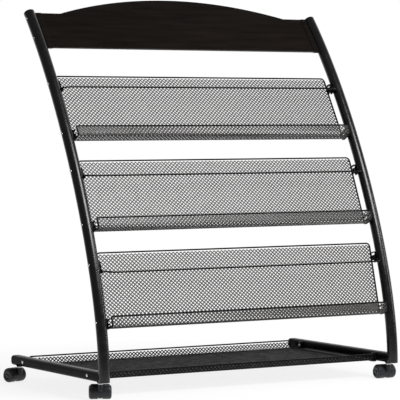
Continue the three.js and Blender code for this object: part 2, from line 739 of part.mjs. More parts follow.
// Wheel on the Y axis, its inner face at y = 0. Its facets touch the circle of the wheel's radius.
function wheelGeometry() {
  const r = wheelRadius / Math.cos(Math.PI / WHEEL_SIDES);
  const bore = AXLE_DIAMETER / 2 + SEAT_GAP;
  const shoulder = WHEEL_ROUNDING * (1 - Math.SQRT1_2);
  const profile = [
    new THREE.Vector2(0, AXLE_GRIP + SEAT_GAP),
    new THREE.Vector2(bore, AXLE_GRIP + SEAT_GAP),
    new THREE.Vector2(bore, 0),
    new THREE.Vector2(r - WHEEL_INNER_CHAMFER, 0),
    new THREE.Vector2(r, WHEEL_INNER_CHAMFER),
    new THREE.Vector2(r, WHEEL_WIDTH - WHEEL_ROUNDING),
    new THREE.Vector2(r - shoulder, WHEEL_WIDTH - shoulder),
    new THREE.Vector2(r - WHEEL_ROUNDING, WHEEL_WIDTH),
    new THREE.Vector2(HUB_RADIUS + HUB_RECESS, WHEEL_WIDTH),
    new THREE.Vector2(HUB_RADIUS, WHEEL_WIDTH - HUB_RECESS),
    new THREE.Vector2(0, WHEEL_WIDTH - HUB_RECESS),
  ];
  return new THREE.LatheGeometry(profile, WHEEL_SIDES, Math.PI / WHEEL_SIDES);
}

// Caster hood: a web between the wheels, a fender over them and a socket for the stem on the Z axis
function hoodGeometry() {
  const webHalf = HOOD_WEB / 2;
  const fenderHalf = webHalf + RUNNING_GAP + WHEEL_WIDTH - HOOD_INSET;
  const rear = THREE.MathUtils.degToRad(HOOD_REAR_ANGLE);
  const front = Math.PI + THREE.MathUtils.degToRad(HOOD_FRONT_ANGLE);
  const shape = new THREE.Shape();
  shape.absarc(CASTER_TRAIL, wheelRadius, fenderRadius + HOOD_WALL, rear, front);
  shape.absarc(CASTER_TRAIL, wheelRadius, HOOD_WEB_RADIUS, front, rear + 2 * Math.PI);
  const shell = frontSolid(shape, -fenderHalf, fenderHalf, HOOD_SIDES / 4);
  const socket = bar("z", SOCKET_DIAMETER / 2, hoodTop - SOCKET_HEIGHT, hoodTop, 0, 0, TUBE_SIDES);
  const [spaceStart, spaceEnd] = [webHalf, fenderHalf + HOOD_INSET];
  const spaces = [
    bar("y", fenderRadius, spaceStart, spaceEnd, CASTER_TRAIL, wheelRadius, HOOD_SIDES),
    bar("y", fenderRadius, -spaceEnd, -spaceStart, CASTER_TRAIL, wheelRadius, HOOD_SIDES),
  ];
  const axleBore = bar("y", AXLE_DIAMETER / 2 + SEAT_GAP, -HOOD_WEB, HOOD_WEB, CASTER_TRAIL, wheelRadius);
  const boreBottom = hoodTop - STEM_PIN - SEAT_GAP;
  const stemBore = bar("z", stemHoleRadius, boreBottom, hoodTop + STEM_PIN, 0, 0, TUBE_SIDES);
  return cutBy(joined(shell, socket), ...spaces, axleBore, stemBore);
}

// Caster stem on the Z axis: pin, collar and thread
function stemGeometry() {
  const pin = STEM_DIAMETER / 2;
  const collar = COLLAR_DIAMETER / 2;
  const top = railUnderside + STEM_GRIP - SEAT_GAP;
  const profile = [
    new THREE.Vector2(0, hoodTop - STEM_PIN),
    new THREE.Vector2(pin, hoodTop - STEM_PIN),
    new THREE.Vector2(pin, hoodTop + SEAT_GAP),
    new THREE.Vector2(collar, hoodTop + SEAT_GAP),
    new THREE.Vector2(collar, bossBottom - SEAT_GAP),
    new THREE.Vector2(pin, bossBottom - SEAT_GAP),
    new THREE.Vector2(pin, top),
    new THREE.Vector2(0, top),
  ];
  return new THREE.LatheGeometry(profile, TUBE_SIDES).rotateX(Math.PI / 2);
}

function addCaster({ name, side, rear, heading }) {
  const caster = new THREE.Group();
  caster.position.set(side * uprightX, rear ? rearStemSetback : FRONT_STEM_SETBACK, 0);
  caster.rotation.z = THREE.MathUtils.degToRad(heading);
  const inner = HOOD_WEB / 2 + RUNNING_GAP;
  const axleHalf = inner + AXLE_GRIP;
  addPiece(caster, `${name}_caster_stem`, stemGeometry(), steel);
  addPiece(caster, `${name}_caster_hood`, hoodGeometry(), blackPlastic);
  const axle = bar("y", AXLE_DIAMETER / 2, -axleHalf, axleHalf, CASTER_TRAIL, wheelRadius);
  addPiece(caster, `${name}_caster_axle`, axle, steel);
  const leftWheel = addPiece(caster, `${name}_caster_wheel_a`, wheelGeometry(), blackPlastic);
  leftWheel.position.set(CASTER_TRAIL, inner, wheelRadius);
  const rightWheel = addPiece(caster, `${name}_caster_wheel_b`, wheelGeometry(), blackPlastic);
  rightWheel.position.set(CASTER_TRAIL, -inner, wheelRadius);
  rightWheel.rotation.z = Math.PI;
  rack.add(caster);
}

for (const [side, name] of [[-1, "left"], [1, "right"]]) {
  addUpright(side, name);
  addUprightCap(side, name);
  addRail(side, name);
  addRailPlug(side, name);
}
addHeader();
trayFrames.forEach(addTray);
addBaseTray();
addScrews(uprightScrews, tubeRadius);
addScrews(railScrews, RAIL_WIDTH / 2);
CASTERS.forEach(addCaster);

// The origin goes under the middle of the rack, on the floor
const extent = new THREE.Box3().setFromObject(rack, true);
const middle = extent.getCenter(new THREE.Vector3());
rack.position.set(-middle.x, -middle.y, -extent.min.z);

const model = new THREE.Group();
model.add(rack);

export default model;
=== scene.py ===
"""Looks of a mobile periodical display rack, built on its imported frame. Metres, +Z up, front to -Y."""

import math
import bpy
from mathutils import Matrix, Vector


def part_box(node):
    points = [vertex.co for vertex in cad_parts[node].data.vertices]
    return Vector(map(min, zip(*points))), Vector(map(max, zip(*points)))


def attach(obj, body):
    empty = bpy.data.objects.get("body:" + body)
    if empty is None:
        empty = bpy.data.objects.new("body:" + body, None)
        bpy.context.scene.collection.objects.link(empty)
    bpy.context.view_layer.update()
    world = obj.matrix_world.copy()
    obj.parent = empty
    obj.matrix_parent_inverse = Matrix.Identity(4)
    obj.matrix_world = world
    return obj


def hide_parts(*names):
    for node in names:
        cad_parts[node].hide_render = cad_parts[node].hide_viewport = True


bl_info = {
    "name": "Periodical Display Rack",
    "version": (1, 0, 0),
    "blender": (4, 5, 0),
    "location": "3D View > Sidebar > Display Rack",
    "description": "Builds the painted tubes, mesh trays, header board and casters of a display rack",
    "category": "Add Mesh",
}

from functools import partial

import bmesh
import bpy
from bpy.props import FloatProperty, FloatVectorProperty, PointerProperty
from bpy.types import Operator, Panel, PropertyGroup
from mathutils import Matrix, Vector

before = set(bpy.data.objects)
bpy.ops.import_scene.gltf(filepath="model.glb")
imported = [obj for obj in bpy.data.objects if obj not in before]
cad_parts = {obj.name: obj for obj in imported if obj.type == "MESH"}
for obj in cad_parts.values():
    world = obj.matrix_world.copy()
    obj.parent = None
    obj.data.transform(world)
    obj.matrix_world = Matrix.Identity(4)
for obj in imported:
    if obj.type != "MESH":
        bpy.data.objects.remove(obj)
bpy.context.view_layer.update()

MM = 0.001
TINY = 0.001 * MM
ENDS = (("left", -1), ("right", 1))
TIERS = ("lower", "middle", "upper")
CORNERS = ("front_left", "front_right", "rear_left", "rear_right")
SCREWED = [f"{tier}_tray_{row}" for tier in TIERS for row in ("lower", "upper")]
SCREWED += ["header_lower", "header_upper", "base_front", "base_rear"]

# Counts of the steps and sides of round forms
BOW_STEPS = 72
ROUND_SIDES = 40
FOLD_STEPS = 6

# Bars of a tray's brackets, from and to a height above the screw in millimetres
LOWER_BARS = ((4, 8), (-8, -4), (-14, -10.5))
UPPER_BARS = ((5.5, 8), (-13.5, -1))
BRACKET_EDGE = 0.8 * MM

# Dome of a rail's plug: a share of its depth, and how far the outline is set in, in millimetres
PLUG_DOME = ((0.03, 0.4), (0.1, 0), (0.6, 0), (0.8, 0.3), (0.93, 0.9), (0.99, 1.7), (1, 2.3))

# Half of the hood's round over its width: a share of its half width, and its drop as a share of the wall
HOOD_ROUND = ((0, 0), (0.85, 0), (0.95, 0.08), (0.985, 0.25), (1, 0.55))

# Stage: each lamp's place, target and size, the floor's tones and the distances over which it fades
FRONT_SOFTBOX = ((0.42, -1.92, 2.04), (0, 0, 0.5), (1.3, 0.95))
SIDE_STRIP = ((2.4, -1.6, 1.15), (0.3, -0.1, 0.5), (0.25, 1.3))
WHITE = (1, 1, 1, 1)
FLOOR_GREY = (0.86, 0.86, 0.86, 1)
FLOOR_SHADOW = (0.2, 0.2, 0.2, 1)
FLOOR_GLOW = 0.84
FLOOR_FADE = (0.5, 1.1)
ROOM_FADE = (1.3, 2.4)
FLOOR_REACH = 9
CAMERA_REACH = 100
SENSOR_WIDTH = 36


# Readings of the frame
def middle_of(node):
    low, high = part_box(node)
    return (low + high) / 2


def width_of(node):
    low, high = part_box(node)
    return high.x - low.x


def leaning_place(lower_screw, upper_screw):
    """Frame of a leaning panel: its origin at the lower screw and its Z towards the upper one."""
    lower = middle_of(lower_screw)
    upper = middle_of(upper_screw)
    lean = math.atan2(upper.y - lower.y, upper.z - lower.z)
    place = Matrix.Translation((0, lower.y, lower.z)) @ Matrix.Rotation(-lean, 4, "X")
    return place, math.hypot(upper.y - lower.y, upper.z - lower.z), lean


TUBE = width_of("left_upright")
UPRIGHT_X = middle_of("right_upright").x
FOOT_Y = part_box("left_upright")[0].y + TUBE / 2
FOOT_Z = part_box("left_upright")[0].z
INNER_FACE = UPRIGHT_X - TUBE / 2
SHEET_EDGE = 2.6 * MM
RIM_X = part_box("lower_tray_mesh")[1].x + SHEET_EDGE
BASE_RIM_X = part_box("base_tray_mesh")[1].x + SHEET_EDGE
RAIL_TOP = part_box("left_base_rail")[1].z
RAIL_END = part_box("left_base_rail")[1].y
PLUG_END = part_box("left_rail_plug")[1].y
BOSS_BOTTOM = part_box("left_base_rail")[0].z
HOOD_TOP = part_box("front_left_caster_hood")[1].z
HEADER_PLACE, _, HEADER_LEAN = leaning_place("header_lower_left_screw", "header_upper_left_screw")


# Settings that a user would change
def length(name, description, millimetres, least=0):
    return FloatProperty(
        name=name,
        description=description,
        default=millimetres * MM,
        min=least * MM,
        precision=4,
        unit="LENGTH",
        subtype="DISTANCE",
    )


def degrees(name, description, default):
    return FloatProperty(name=name, description=description, default=math.radians(default), subtype="ANGLE")


def number(name, description, default, unit="NONE"):
    return FloatProperty(name=name, description=description, default=default, min=0, unit=unit)


def colour(name, description, default):
    return FloatVectorProperty(
        name=name, description=description, default=default, size=3, min=0, max=1, subtype="COLOR"
    )


class TubeSettings(PropertyGroup):
    height: length("Upright height", "From the foot to the head of an upright's axis", 904)
    setback: length("Head setback", "How far the head lies behind the foot", 391)
    head_lean: degrees("Head lean", "Lean of the upright's head from vertical", 39.7)
    foot_arm: length("Foot arm", "Control arm of the bow at the foot", 235)
    head_arm: length("Head arm", "Control arm of the bow at the head", 345)
    diameter: length("Tube diameter", "Outside diameter of an upright", TUBE / MM)
    rail_width: length("Rail width", "Width of a base rail", width_of("left_base_rail") / MM)
    rail_height: length("Rail height", "Height of a base rail", 25)
    rail_corner: length("Rail corner", "Corner radius of a base rail", 8)
    weld: length("Weld bead", "Thickness of the bead round a rail's joint", 2.4)


class HeaderSettings(PropertyGroup):
    below: length("Below screw", "Lower edge below the lower screw", 29)
    shoulder: length("Shoulder", "Shoulder above the lower screw", 83)
    shoulder_width: length("Shoulder width", "Level part at each end of the top edge", 73)
    arch_rise: length("Arch rise", "Rise of the arch above the shoulders", 54.5)
    thickness: length("Board thickness", "Thickness of the header board", 6)
    strip_width: length("Strip width", "Width of an end strip", 18)
    strip_depth: length("Strip depth", "Depth of an end strip", 10)


class TraySettings(PropertyGroup):
    top: length("Back height", "Top edge of the back above the lower screw", 175)
    floor: length("Pocket floor", "Height of the pocket's floor from the lower screw", -15, -100)
    lip_top: length("Lip height", "Top edge of the lip above the lower screw", 10.5)
    back: length("Back setback", "Back panel behind the line of the screws", 17)
    depth: length("Pocket depth", "From the back panel to the front lip", 37)
    corner: length("Top corner", "Radius of a tray's upper corners", 10)
    bend: length("Fold radius", "Radius of the folds of a sheet and its rim", 8)
    rim: length("Rim wire", "Diameter of the rim wire", 4)
    keeper: length("Keeper wire", "Diameter of the keeper wire", 4)
    keeper_forward: length("Keeper reach", "Keeper wire in front of the line of the screws", 30)
    keeper_drop: length("Keeper drop", "Keeper wire below the upper screw", 25)
    cell_width: length("Cell width", "Width of one diamond of the mesh", 10.9)
    cell_height: length("Cell height", "Height of one diamond of the mesh", 9.7)
    strand: length("Strand width", "Width of a strand of the mesh", 2.7)
    strand_depth: length("Strand depth", "Depth of a strand of the mesh", 1.1)


class BaseTraySettings(PropertyGroup):
    lip: length("Lip height", "Front lip above the floor", 16)
    wall: length("Back wall height", "Back wall above the floor", 19.5)
    bracket: length("Bracket width", "Width of a bracket on the rail", 18)


class CasterSettings(PropertyGroup):
    wheel_diameter: length("Wheel diameter", "Diameter of a wheel", 35)
    wheel_width: length("Wheel width", "Width of one wheel", 22)
    web: length("Hood web", "Thickness of the hood between the wheels", 10)
    clearance: length("Running gap", "Gap between a wheel and its hood", 0.8)
    hood_wall: length("Hood wall", "Thickness of the hood over the wheels", 1.4)
    hood_inset: length("Hood inset", "Hood's side edge, in from a wheel's outer face", 5)
    web_radius: length("Web radius", "Radius of the hood's web round the axle", 16.3)
    shoulder: length("Wheel shoulder", "Rounding of a wheel's outer edge", 6)
    socket: length("Socket diameter", "Diameter of the hood's stem socket", 14)
    collar: length("Collar diameter", "Diameter of the bright collar", 13)
    stem: length("Stem diameter", "Diameter of the stem", 7)


class ScrewSettings(PropertyGroup):
    head: length("Head diameter", "Diameter of a screw head", 7.6)
    rise: length("Head rise", "Height of a screw head", 1.8)
    solid_rise: length("Solid rise", "Height of the head of the solid screw", 2.6)
    shank: length("Shank diameter", "Diameter of a screw's shank", 5)
    nut: length("Nut width", "Width of a nut across its corners", 6.8)
    nut_depth: length("Nut depth", "Thickness of a nut", 3)


class FinishSettings(PropertyGroup):
    paint: colour("Tube paint", "Gloss black of the tubes and wires", (0.0022, 0.0020, 0.0022))
    board: colour("Header board", "Brown black of the header board", (0.0082, 0.0062, 0.0054))
    # Painted light: the board's edges get a lighter brown that stands in for the pale floor's light on them
    board_edge: colour("Board edge", "Brown of the board's edge band", (0.030, 0.025, 0.022))
    # Painted light: the trays' sheets are black paint, given a lighter grey that stands in for the studio
    # light on their strands
    mesh: colour("Tray mesh paint", "Black of the leaning trays' sheets", (0.0340, 0.0310, 0.0300))
    # Painted shade: the base tray's sheet is the same black paint as the trays', kept darker to stand in for
    # the shade it lies in
    base_mesh: colour("Base mesh paint", "Black of the base tray's sheet", (0.0085, 0.0080, 0.0084))
    plastic: colour("Moulded plastic", "Black of the caps and plugs", (0.0042, 0.0044, 0.0050))
    # Painted sheen: the hoods and wheels are blue-black plastic, their colour lightened to stand in for the
    # sheen of the studio light on them
    hood: colour("Hood plastic", "Blue black of the caster hoods", (0.0170, 0.0176, 0.0205))
    wheel: colour("Wheel plastic", "Blue black of the wheels", (0.0190, 0.0200, 0.0235))
    zinc: colour("Zinc", "Bright zinc of the screws", (0.78, 0.79, 0.81))
    steel: colour("Steel", "Bright steel of the caster stems", (0.68, 0.69, 0.71))


class StageSettings(PropertyGroup):
    camera_place: FloatVectorProperty(
        name="Camera place",
        description="Camera from the left upright's foot",
        default=(-2.6743, -4.8387, 0.6504),
        size=3,
        subtype="TRANSLATION",
        unit="LENGTH",
    )
    yaw: degrees("Camera yaw", "Camera's turn to the right", 31.33)
    pitch: degrees("Camera pitch", "Camera's tilt down", 2.17)
    lens: number("Lens", "Focal length in millimetres", 206.34, "CAMERA")
    key: number("Key", "Power of the front softbox", 52, "POWER")
    strip: number("Strip", "Power of the side strip light", 12, "POWER")
    fill: number("Fill", "Strength of the surrounding soft light", 0.22)
    room: number("Room", "Grey of the room beside the backdrop, as gloss shows it", 0.18)


# Mesh helpers
def smooth(mesh, sharp):
    """Smooth shading, except at edges sharper than an angle in degrees."""
    mesh.shade_smooth()
    mesh.set_sharp_from_angle(angle=math.radians(sharp))


def placed(name, data):
    """New object in the scene."""
    piece = bpy.data.objects.new(name, data)
    bpy.context.scene.collection.objects.link(piece)
    return piece


def mesh_of(name, shape):
    """Mesh of a bmesh, which is freed."""
    mesh = bpy.data.meshes.new(name)
    bmesh.ops.recalc_face_normals(shape, faces=shape.faces)
    shape.to_mesh(mesh)
    shape.free()
    return mesh


def piece_from(name, shape, paint, sharp=35):
    """Turns a bmesh into an object with a finish, smooth except at edges sharper than the angle."""
    mesh = mesh_of(name, shape)
    smooth(mesh, sharp)
    mesh.materials.append(finish(paint))
    return placed(name, mesh)


def settle(piece, slot, *nodes, body="rack"):
    """Ties a piece to its body and hides the solids that it stands for. The finish slot is not used."""
    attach(piece, body)
    if nodes:
        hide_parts(*nodes)


def turned(shape, profile, sides, place):
    """Adds a turned form: (radius, height) points from end to end, round the Z axis of its place."""
    rings = []
    for radius, height in profile:
        if radius < TINY:
            rings.append([shape.verts.new(place @ Vector((0, 0, height)))])
            continue
        ring = []
        for i in range(sides):
            angle = 2 * math.pi * i / sides
            point = Vector((radius * math.cos(angle), radius * math.sin(angle), height))
            ring.append(shape.verts.new(place @ point))
        rings.append(ring)
    for below, above in zip(rings, rings[1:]):
        for i in range(sides):
            j = (i + 1) % sides
            if len(below) == 1 and len(above) == 1:
                continue
            if len(below) == 1:
                shape.faces.new((below[0], above[i], above[j]))
            elif len(above) == 1:
                shape.faces.new((below[i], below[j], above[0]))
            else:
                shape.faces.new((below[i], below[j], above[j], above[i]))
    for ring in (rings[0], rings[-1]):
        if len(ring) > 1:
            shape.faces.new(ring)


def arc(centre, radius, start, end, steps):
    """Points of an arc in a plane, angles in degrees."""
    points = []
    for i in range(steps + 1):
        angle = math.radians(start + (end - start) * i / steps)
        points.append((centre[0] + radius * math.cos(angle), centre[1] + radius * math.sin(angle)))
    return points


def rounded_outline(width, height, corner, steps=6):
    w = width / 2 - corner
    h = height / 2 - corner
    points = arc((w, h), corner, 0, 90, steps)
    points += arc((-w, h), corner, 90, 180, steps)
    points += arc((-w, -h), corner, 180, 270, steps)
    points += arc((w, -h), corner, 270, 360, steps)
    return points


def lofted(shape, sections, closed=True):
    """Joins round sections of equal counts of points into one form, with closed or open ends."""
    rings = [[shape.verts.new(point) for point in section] for section in sections]
    count = len(rings[0])
    for first, second in zip(rings, rings[1:]):
        for i in range(count):
            j = (i + 1) % count
            shape.faces.new((first[i], first[j], second[j], second[i]))
    if closed:
        shape.faces.new(rings[0])
        shape.faces.new(list(reversed(rings[-1])))


def soft_block(shape, low, high, edge, place=Matrix()):
    """Adds a block with rounded edges between two corners."""
    low = Vector(low)
    high = Vector(high)
    size = Matrix.Diagonal((*(high - low), 1))
    made = bmesh.ops.create_cube(shape, size=1, matrix=Matrix.Translation((low + high) / 2) @ size)
    edges = list({e for v in made["verts"] for e in v.link_edges})
    bevelled = bmesh.ops.bevel(shape, geom=edges, offset=edge, segments=3, profile=0.5, affect="EDGES")
    verts = {v for f in bevelled["faces"] for v in f.verts}
    verts |= {v for v in made["verts"] if v.is_valid}
    bmesh.ops.transform(shape, matrix=place, verts=list(verts))


# Node helpers
def put(tree, kind, inputs=(), **settings):
    """Adds a node, sets its options and links or fills its inputs."""
    node = tree.nodes.new(kind)
    for key, value in settings.items():
        setattr(node, key, value)
    for key, value in dict(inputs).items():
        if isinstance(value, bpy.types.NodeSocket):
            tree.links.new(value, node.inputs[key])
        else:
            node.inputs[key].default_value = value
    return node


def calc(tree, operation, first, second=0.0):
    return put(tree, "ShaderNodeMath", {0: first, 1: second}, operation=operation).outputs[0]


def vector_calc(tree, operation, first, second=(0, 0, 0)):
    return put(tree, "ShaderNodeVectorMath", {0: first, 1: second}, operation=operation).outputs


def shape_tree(name, sizes):
    """Geometry tree with a mesh in, a mesh out, named inputs and a material."""
    tree = bpy.data.node_groups.new(name, "GeometryNodeTree")
    tree.interface.new_socket(name="Geometry", in_out="INPUT", socket_type="NodeSocketGeometry")
    for label, kind in (*sizes.items(), ("Material", "Material")):
        tree.interface.new_socket(name=label, in_out="INPUT", socket_type="NodeSocket" + kind)
    tree.interface.new_socket(name="Geometry", in_out="OUTPUT", socket_type="NodeSocketGeometry")
    return tree, tree.nodes.new("NodeGroupInput").outputs


def close_tree(tree, geometry, material):
    """Ends a tree in plain geometry with its finish."""
    plain = put(tree, "GeometryNodeRealizeInstances", {"Geometry": geometry}).outputs["Geometry"]
    finished = put(tree, "GeometryNodeSetMaterial", {"Geometry": plain, "Material": material})
    put(tree, "NodeGroupOutput", {"Geometry": finished.outputs["Geometry"]})


def swept(tree, given, curve):
    """Ends a tree in a round bar along a curve."""
    radius = calc(tree, "MULTIPLY", given["Diameter"], 0.5)
    ring = put(tree, "GeometryNodeCurvePrimitiveCircle", {"Resolution": given["Sides"], "Radius": radius})
    links = {"Curve": curve, "Profile Curve": ring.outputs["Curve"], "Fill Caps": True}
    bar = put(tree, "GeometryNodeCurveToMesh", links).outputs["Mesh"]
    close_tree(tree, bar, given["Material"])
    return tree


def grown(name, seed, tree, sizes):
    """Runs a tree on a seed mesh and returns a plain object of the result."""
    holder = placed(name + "_seed", seed)
    modifier = holder.modifiers.new(tree.name, "NODES")
    modifier.node_group = tree
    for item in tree.interface.items_tree:
        if item.in_out == "INPUT" and item.name in sizes:
            modifier[item.identifier] = sizes[item.name]
    holder.update_tag()
    depsgraph = bpy.context.evaluated_depsgraph_get()
    mesh = bpy.data.meshes.new_from_object(holder.evaluated_get(depsgraph))
    if not mesh.polygons:
        raise RuntimeError(f"{name}: the tree made no faces")
    mesh.name = name
    holder.modifiers.remove(modifier)
    bpy.data.objects.remove(holder)
    return placed(name, mesh)


def path_mesh(name, points, bends=None, closed=False):
    """Mesh of edges from point to point, with the fold radius of each corner as an attribute."""
    edges = [(i, i + 1) for i in range(len(points) - 1)]
    if closed:
        edges.append((len(points) - 1, 0))
    mesh = bpy.data.meshes.new(name)
    mesh.from_pydata([tuple(p) for p in points], edges, [])
    if bends:
        mesh.attributes.new("bend", "FLOAT", "POINT").data.foreach_set("value", bends)
    return mesh


# Trees
def bowed_tube_tree():
    """Tube along one bow from its foot to its head."""
    sizes = dict.fromkeys(("Foot", "Foot Handle", "Head Handle", "Head"), "Vector")
    sizes |= {"Diameter": "Float", "Steps": "Int", "Sides": "Int"}
    tree, given = shape_tree("Bowed Tube", sizes)
    inputs = {
        "Resolution": given["Steps"],
        "Start": given["Foot"],
        "Start Handle": given["Foot Handle"],
        "End Handle": given["Head Handle"],
        "End": given["Head"],
    }
    bow = put(tree, "GeometryNodeCurvePrimitiveBezierSegment", inputs, mode="POSITION")
    return swept(tree, given, bow.outputs["Curve"])


def bent_wire_tree():
    """Round wire along a path of edges, folded at each corner."""
    tree, given = shape_tree("Bent Wire", {"Diameter": "Float", "Fold Steps": "Int", "Sides": "Int"})
    path = put(tree, "GeometryNodeMeshToCurve", {"Mesh": given["Geometry"]}).outputs["Curve"]
    bend = put(tree, "GeometryNodeInputNamedAttribute", {"Name": "bend"}, data_type="FLOAT")
    radius = bend.outputs["Attribute"]
    fillet = {"Curve": path, "Radius": radius, "Limit Radius": True, "Count": given["Fold Steps"]}
    return swept(tree, given, put(tree, "GeometryNodeFilletCurve", fillet, mode="POLY").outputs["Curve"])


def wire_tree():
    return bpy.data.node_groups.get("Bent Wire") or bent_wire_tree()


def diamond_mesh_tree():
    """Diamond mesh on a sheet that follows a folded section, trimmed to round upper corners."""
    sizes = dict.fromkeys(("Width", "Cell Width", "Cell Height", "Corner"), "Float")
    tree, given = shape_tree("Diamond Mesh", {**sizes, "Strands": "Object"})
    operations = ("ADD", "SUBTRACT", "MULTIPLY", "DIVIDE", "MINIMUM", "MAXIMUM", "ROUND", "LESS_THAN")
    shorthand = [partial(calc, tree, operation) for operation in operations]
    add, subtract, multiply, divide, least, greatest, rounded, below = shorthand
    section = put(tree, "GeometryNodeMeshToCurve", {"Mesh": given["Geometry"]}).outputs["Curve"]
    reach = put(tree, "GeometryNodeCurveLength", {"Curve": section}).outputs["Length"]
    width = given["Width"]
    corner = given["Corner"]
    half_cell = multiply(given["Cell Height"], 0.5)
    rows = rounded(divide(reach, half_cell))
    columns = rounded(divide(width, given["Cell Width"]))
    row_step = divide(reach, rows)
    column_step = divide(width, columns)
    spread = {"Size X": width, "Size Y": reach, "Vertices X": add(columns, 1.0), "Vertices Y": add(rows, 1.0)}
    grid = put(tree, "GeometryNodeMeshGrid", spread).outputs["Mesh"]
    position = tree.nodes.new("GeometryNodeInputPosition").outputs[0]
    place = put(tree, "ShaderNodeSeparateXYZ", {0: position}).outputs
    across = place["X"]
    along = add(place["Y"], multiply(reach, 0.5))
    # Every other row moves half a cell sideways
    row = rounded(divide(along, row_step))
    shift = multiply(calc(tree, "MODULO", row, 2.0), multiply(column_step, 0.5))
    offset = put(tree, "ShaderNodeCombineXYZ", {"X": shift}).outputs[0]
    staggered = put(tree, "GeometryNodeSetPosition", {"Geometry": grid, "Offset": offset}).outputs["Geometry"]
    # Distance past the sheet's edges, and the place on the edge nearest to it
    inner_x = subtract(multiply(width, 0.5), corner)
    inner_along = subtract(reach, corner)
    from_middle = calc(tree, "ABSOLUTE", across)
    past_x = greatest(subtract(from_middle, inner_x), 0.0)
    past_along = greatest(subtract(along, inner_along), 0.0)
    past = calc(tree, "SQRT", add(multiply(past_x, past_x), multiply(past_along, past_along)))
    pull = least(divide(corner, greatest(past, TINY)), 1.0)
    kept_x = add(least(from_middle, inner_x), multiply(past_x, pull))
    trimmed_x = multiply(calc(tree, "SIGN", across), kept_x)
    kept_along = add(least(along, inner_along), multiply(past_along, pull))
    inside = below(past, add(corner, 0.2 * MM))
    below_top = below(along, subtract(reach, half_cell))
    strands = put(tree, "GeometryNodeObjectInfo", {"Object": given["Strands"]}, transform_space="ORIGINAL")
    stretch = {"X": divide(column_step, given["Cell Width"]), "Y": divide(row_step, half_cell), "Z": 1.0}
    crossings = {
        "Points": staggered,
        "Selection": multiply(inside, below_top),
        "Instance": strands.outputs["Geometry"],
        "Scale": put(tree, "ShaderNodeCombineXYZ", stretch).outputs[0],
    }
    laid = put(tree, "GeometryNodeInstanceOnPoints", crossings).outputs["Instances"]
    flat = put(tree, "GeometryNodeRealizeInstances", {"Geometry": laid}).outputs["Geometry"]
    # The flat sheet is folded along its section
    sampled = {"Curves": section, "Length": greatest(kept_along, 0.0)}
    fold = put(tree, "GeometryNodeSampleCurve", sampled, mode="LENGTH").outputs
    side = put(tree, "ShaderNodeCombineXYZ", {"X": trimmed_x}).outputs[0]
    outward = vector_calc(tree, "CROSS_PRODUCT", (1, 0, 0), fold["Tangent"])[0]
    raised = put(tree, "ShaderNodeVectorMath", {0: outward, "Scale": place["Z"]}, operation="SCALE")
    beside = vector_calc(tree, "ADD", fold["Position"], side)[0]
    folded = {"Geometry": flat, "Position": vector_calc(tree, "ADD", beside, raised.outputs[0])[0]}
    shaped = put(tree, "GeometryNodeSetPosition", folded).outputs["Geometry"]
    merged = put(tree, "GeometryNodeMergeByDistance", {"Geometry": shaped, "Distance": 0.02 * MM})
    close_tree(tree, merged.outputs["Geometry"], given["Material"])
    return tree


def screw_tree():
    """A screw at each point, turned by the point's own attribute."""
    tree, given = shape_tree("Screws", {"Screw": "Object"})
    facing = put(tree, "GeometryNodeInputNamedAttribute", {"Name": "facing"}, data_type="FLOAT_VECTOR")
    turn = put(tree, "FunctionNodeEulerToRotation", {"Euler": facing.outputs["Attribute"]}).outputs[0]
    screw = put(tree, "GeometryNodeObjectInfo", {"Object": given["Screw"]}, transform_space="ORIGINAL")
    links = {"Points": given["Geometry"], "Instance": screw.outputs["Geometry"], "Rotation": turn}
    driven = put(tree, "GeometryNodeInstanceOnPoints", links).outputs["Instances"]
    close_tree(tree, driven, given["Material"])
    return tree


# Finishes
GLOSS = "Specular IOR Level"


def bare_tree(holder):
    """Emptied node tree of a material or a world."""
    holder.use_nodes = True
    holder.node_tree.nodes.clear()
    return holder.node_tree


def finish_nodes(name):
    material = bpy.data.materials.new(name)
    tree = bare_tree(material)
    return material, tree, tree.nodes.new("ShaderNodeTexCoord").outputs["Object"]


def dressed(material, tint, rough, relief, plain):
    """Ends a finish in its shader. The relief is its strength, its depth in millimetres and its height."""
    tree = material.node_tree
    strength, depth, height = relief
    bump = put(tree, "ShaderNodeBump", {"Strength": strength, "Distance": depth * MM, "Height": height})
    inputs = {"Base Color": tint, "Roughness": rough, "Normal": bump.outputs["Normal"], **plain}
    shader = put(tree, "ShaderNodeBsdfPrincipled", inputs)
    put(tree, "ShaderNodeOutputMaterial", {"Surface": shader.outputs[0]})
    return material


def speckle(tree, where, scale, detail=3.0, roughness=0.55):
    inputs = {"Vector": where, "Scale": scale, "Detail": detail, "Roughness": roughness}
    return put(tree, "ShaderNodeTexNoise", inputs).outputs["Fac"]


def ranged(tree, value, low, high, start=0.3, end=0.7):
    inputs = {"Value": value, "From Min": start, "From Max": end, "To Min": low, "To Max": high}
    return put(tree, "ShaderNodeMapRange", inputs).outputs["Result"]


def tinted(tree, amount, first, second):
    mix = put(tree, "ShaderNodeMix", data_type="RGBA")
    tree.links.new(amount, mix.inputs["Factor"])
    colours = [socket for socket in mix.inputs if socket.type == "RGBA"]
    colours[0].default_value = (*first, 1)
    colours[1].default_value = (*second, 1)
    return next(socket for socket in mix.outputs if socket.type == "RGBA")


def lift(base, factor, add=0.0):
    return tuple(min(1, channel * factor + add) for channel in base)


def paint_finish(name, base, roughness, peel, gloss):
    """Baked gloss paint: slight orange peel, uneven gloss and a little settled dust."""
    material, tree, where = finish_nodes(name)
    dust = ranged(tree, speckle(tree, where, 14, 5), 0.0, 1.0, 0.45, 0.75)
    tint = tinted(tree, dust, base, lift(base, 1.5, 0.002))
    rough = ranged(tree, speckle(tree, where, 55, 4), roughness * 0.8, roughness * 1.3)
    return dressed(material, tint, rough, (peel, 0.2, speckle(tree, where, 420, 2)), {GLOSS: gloss})


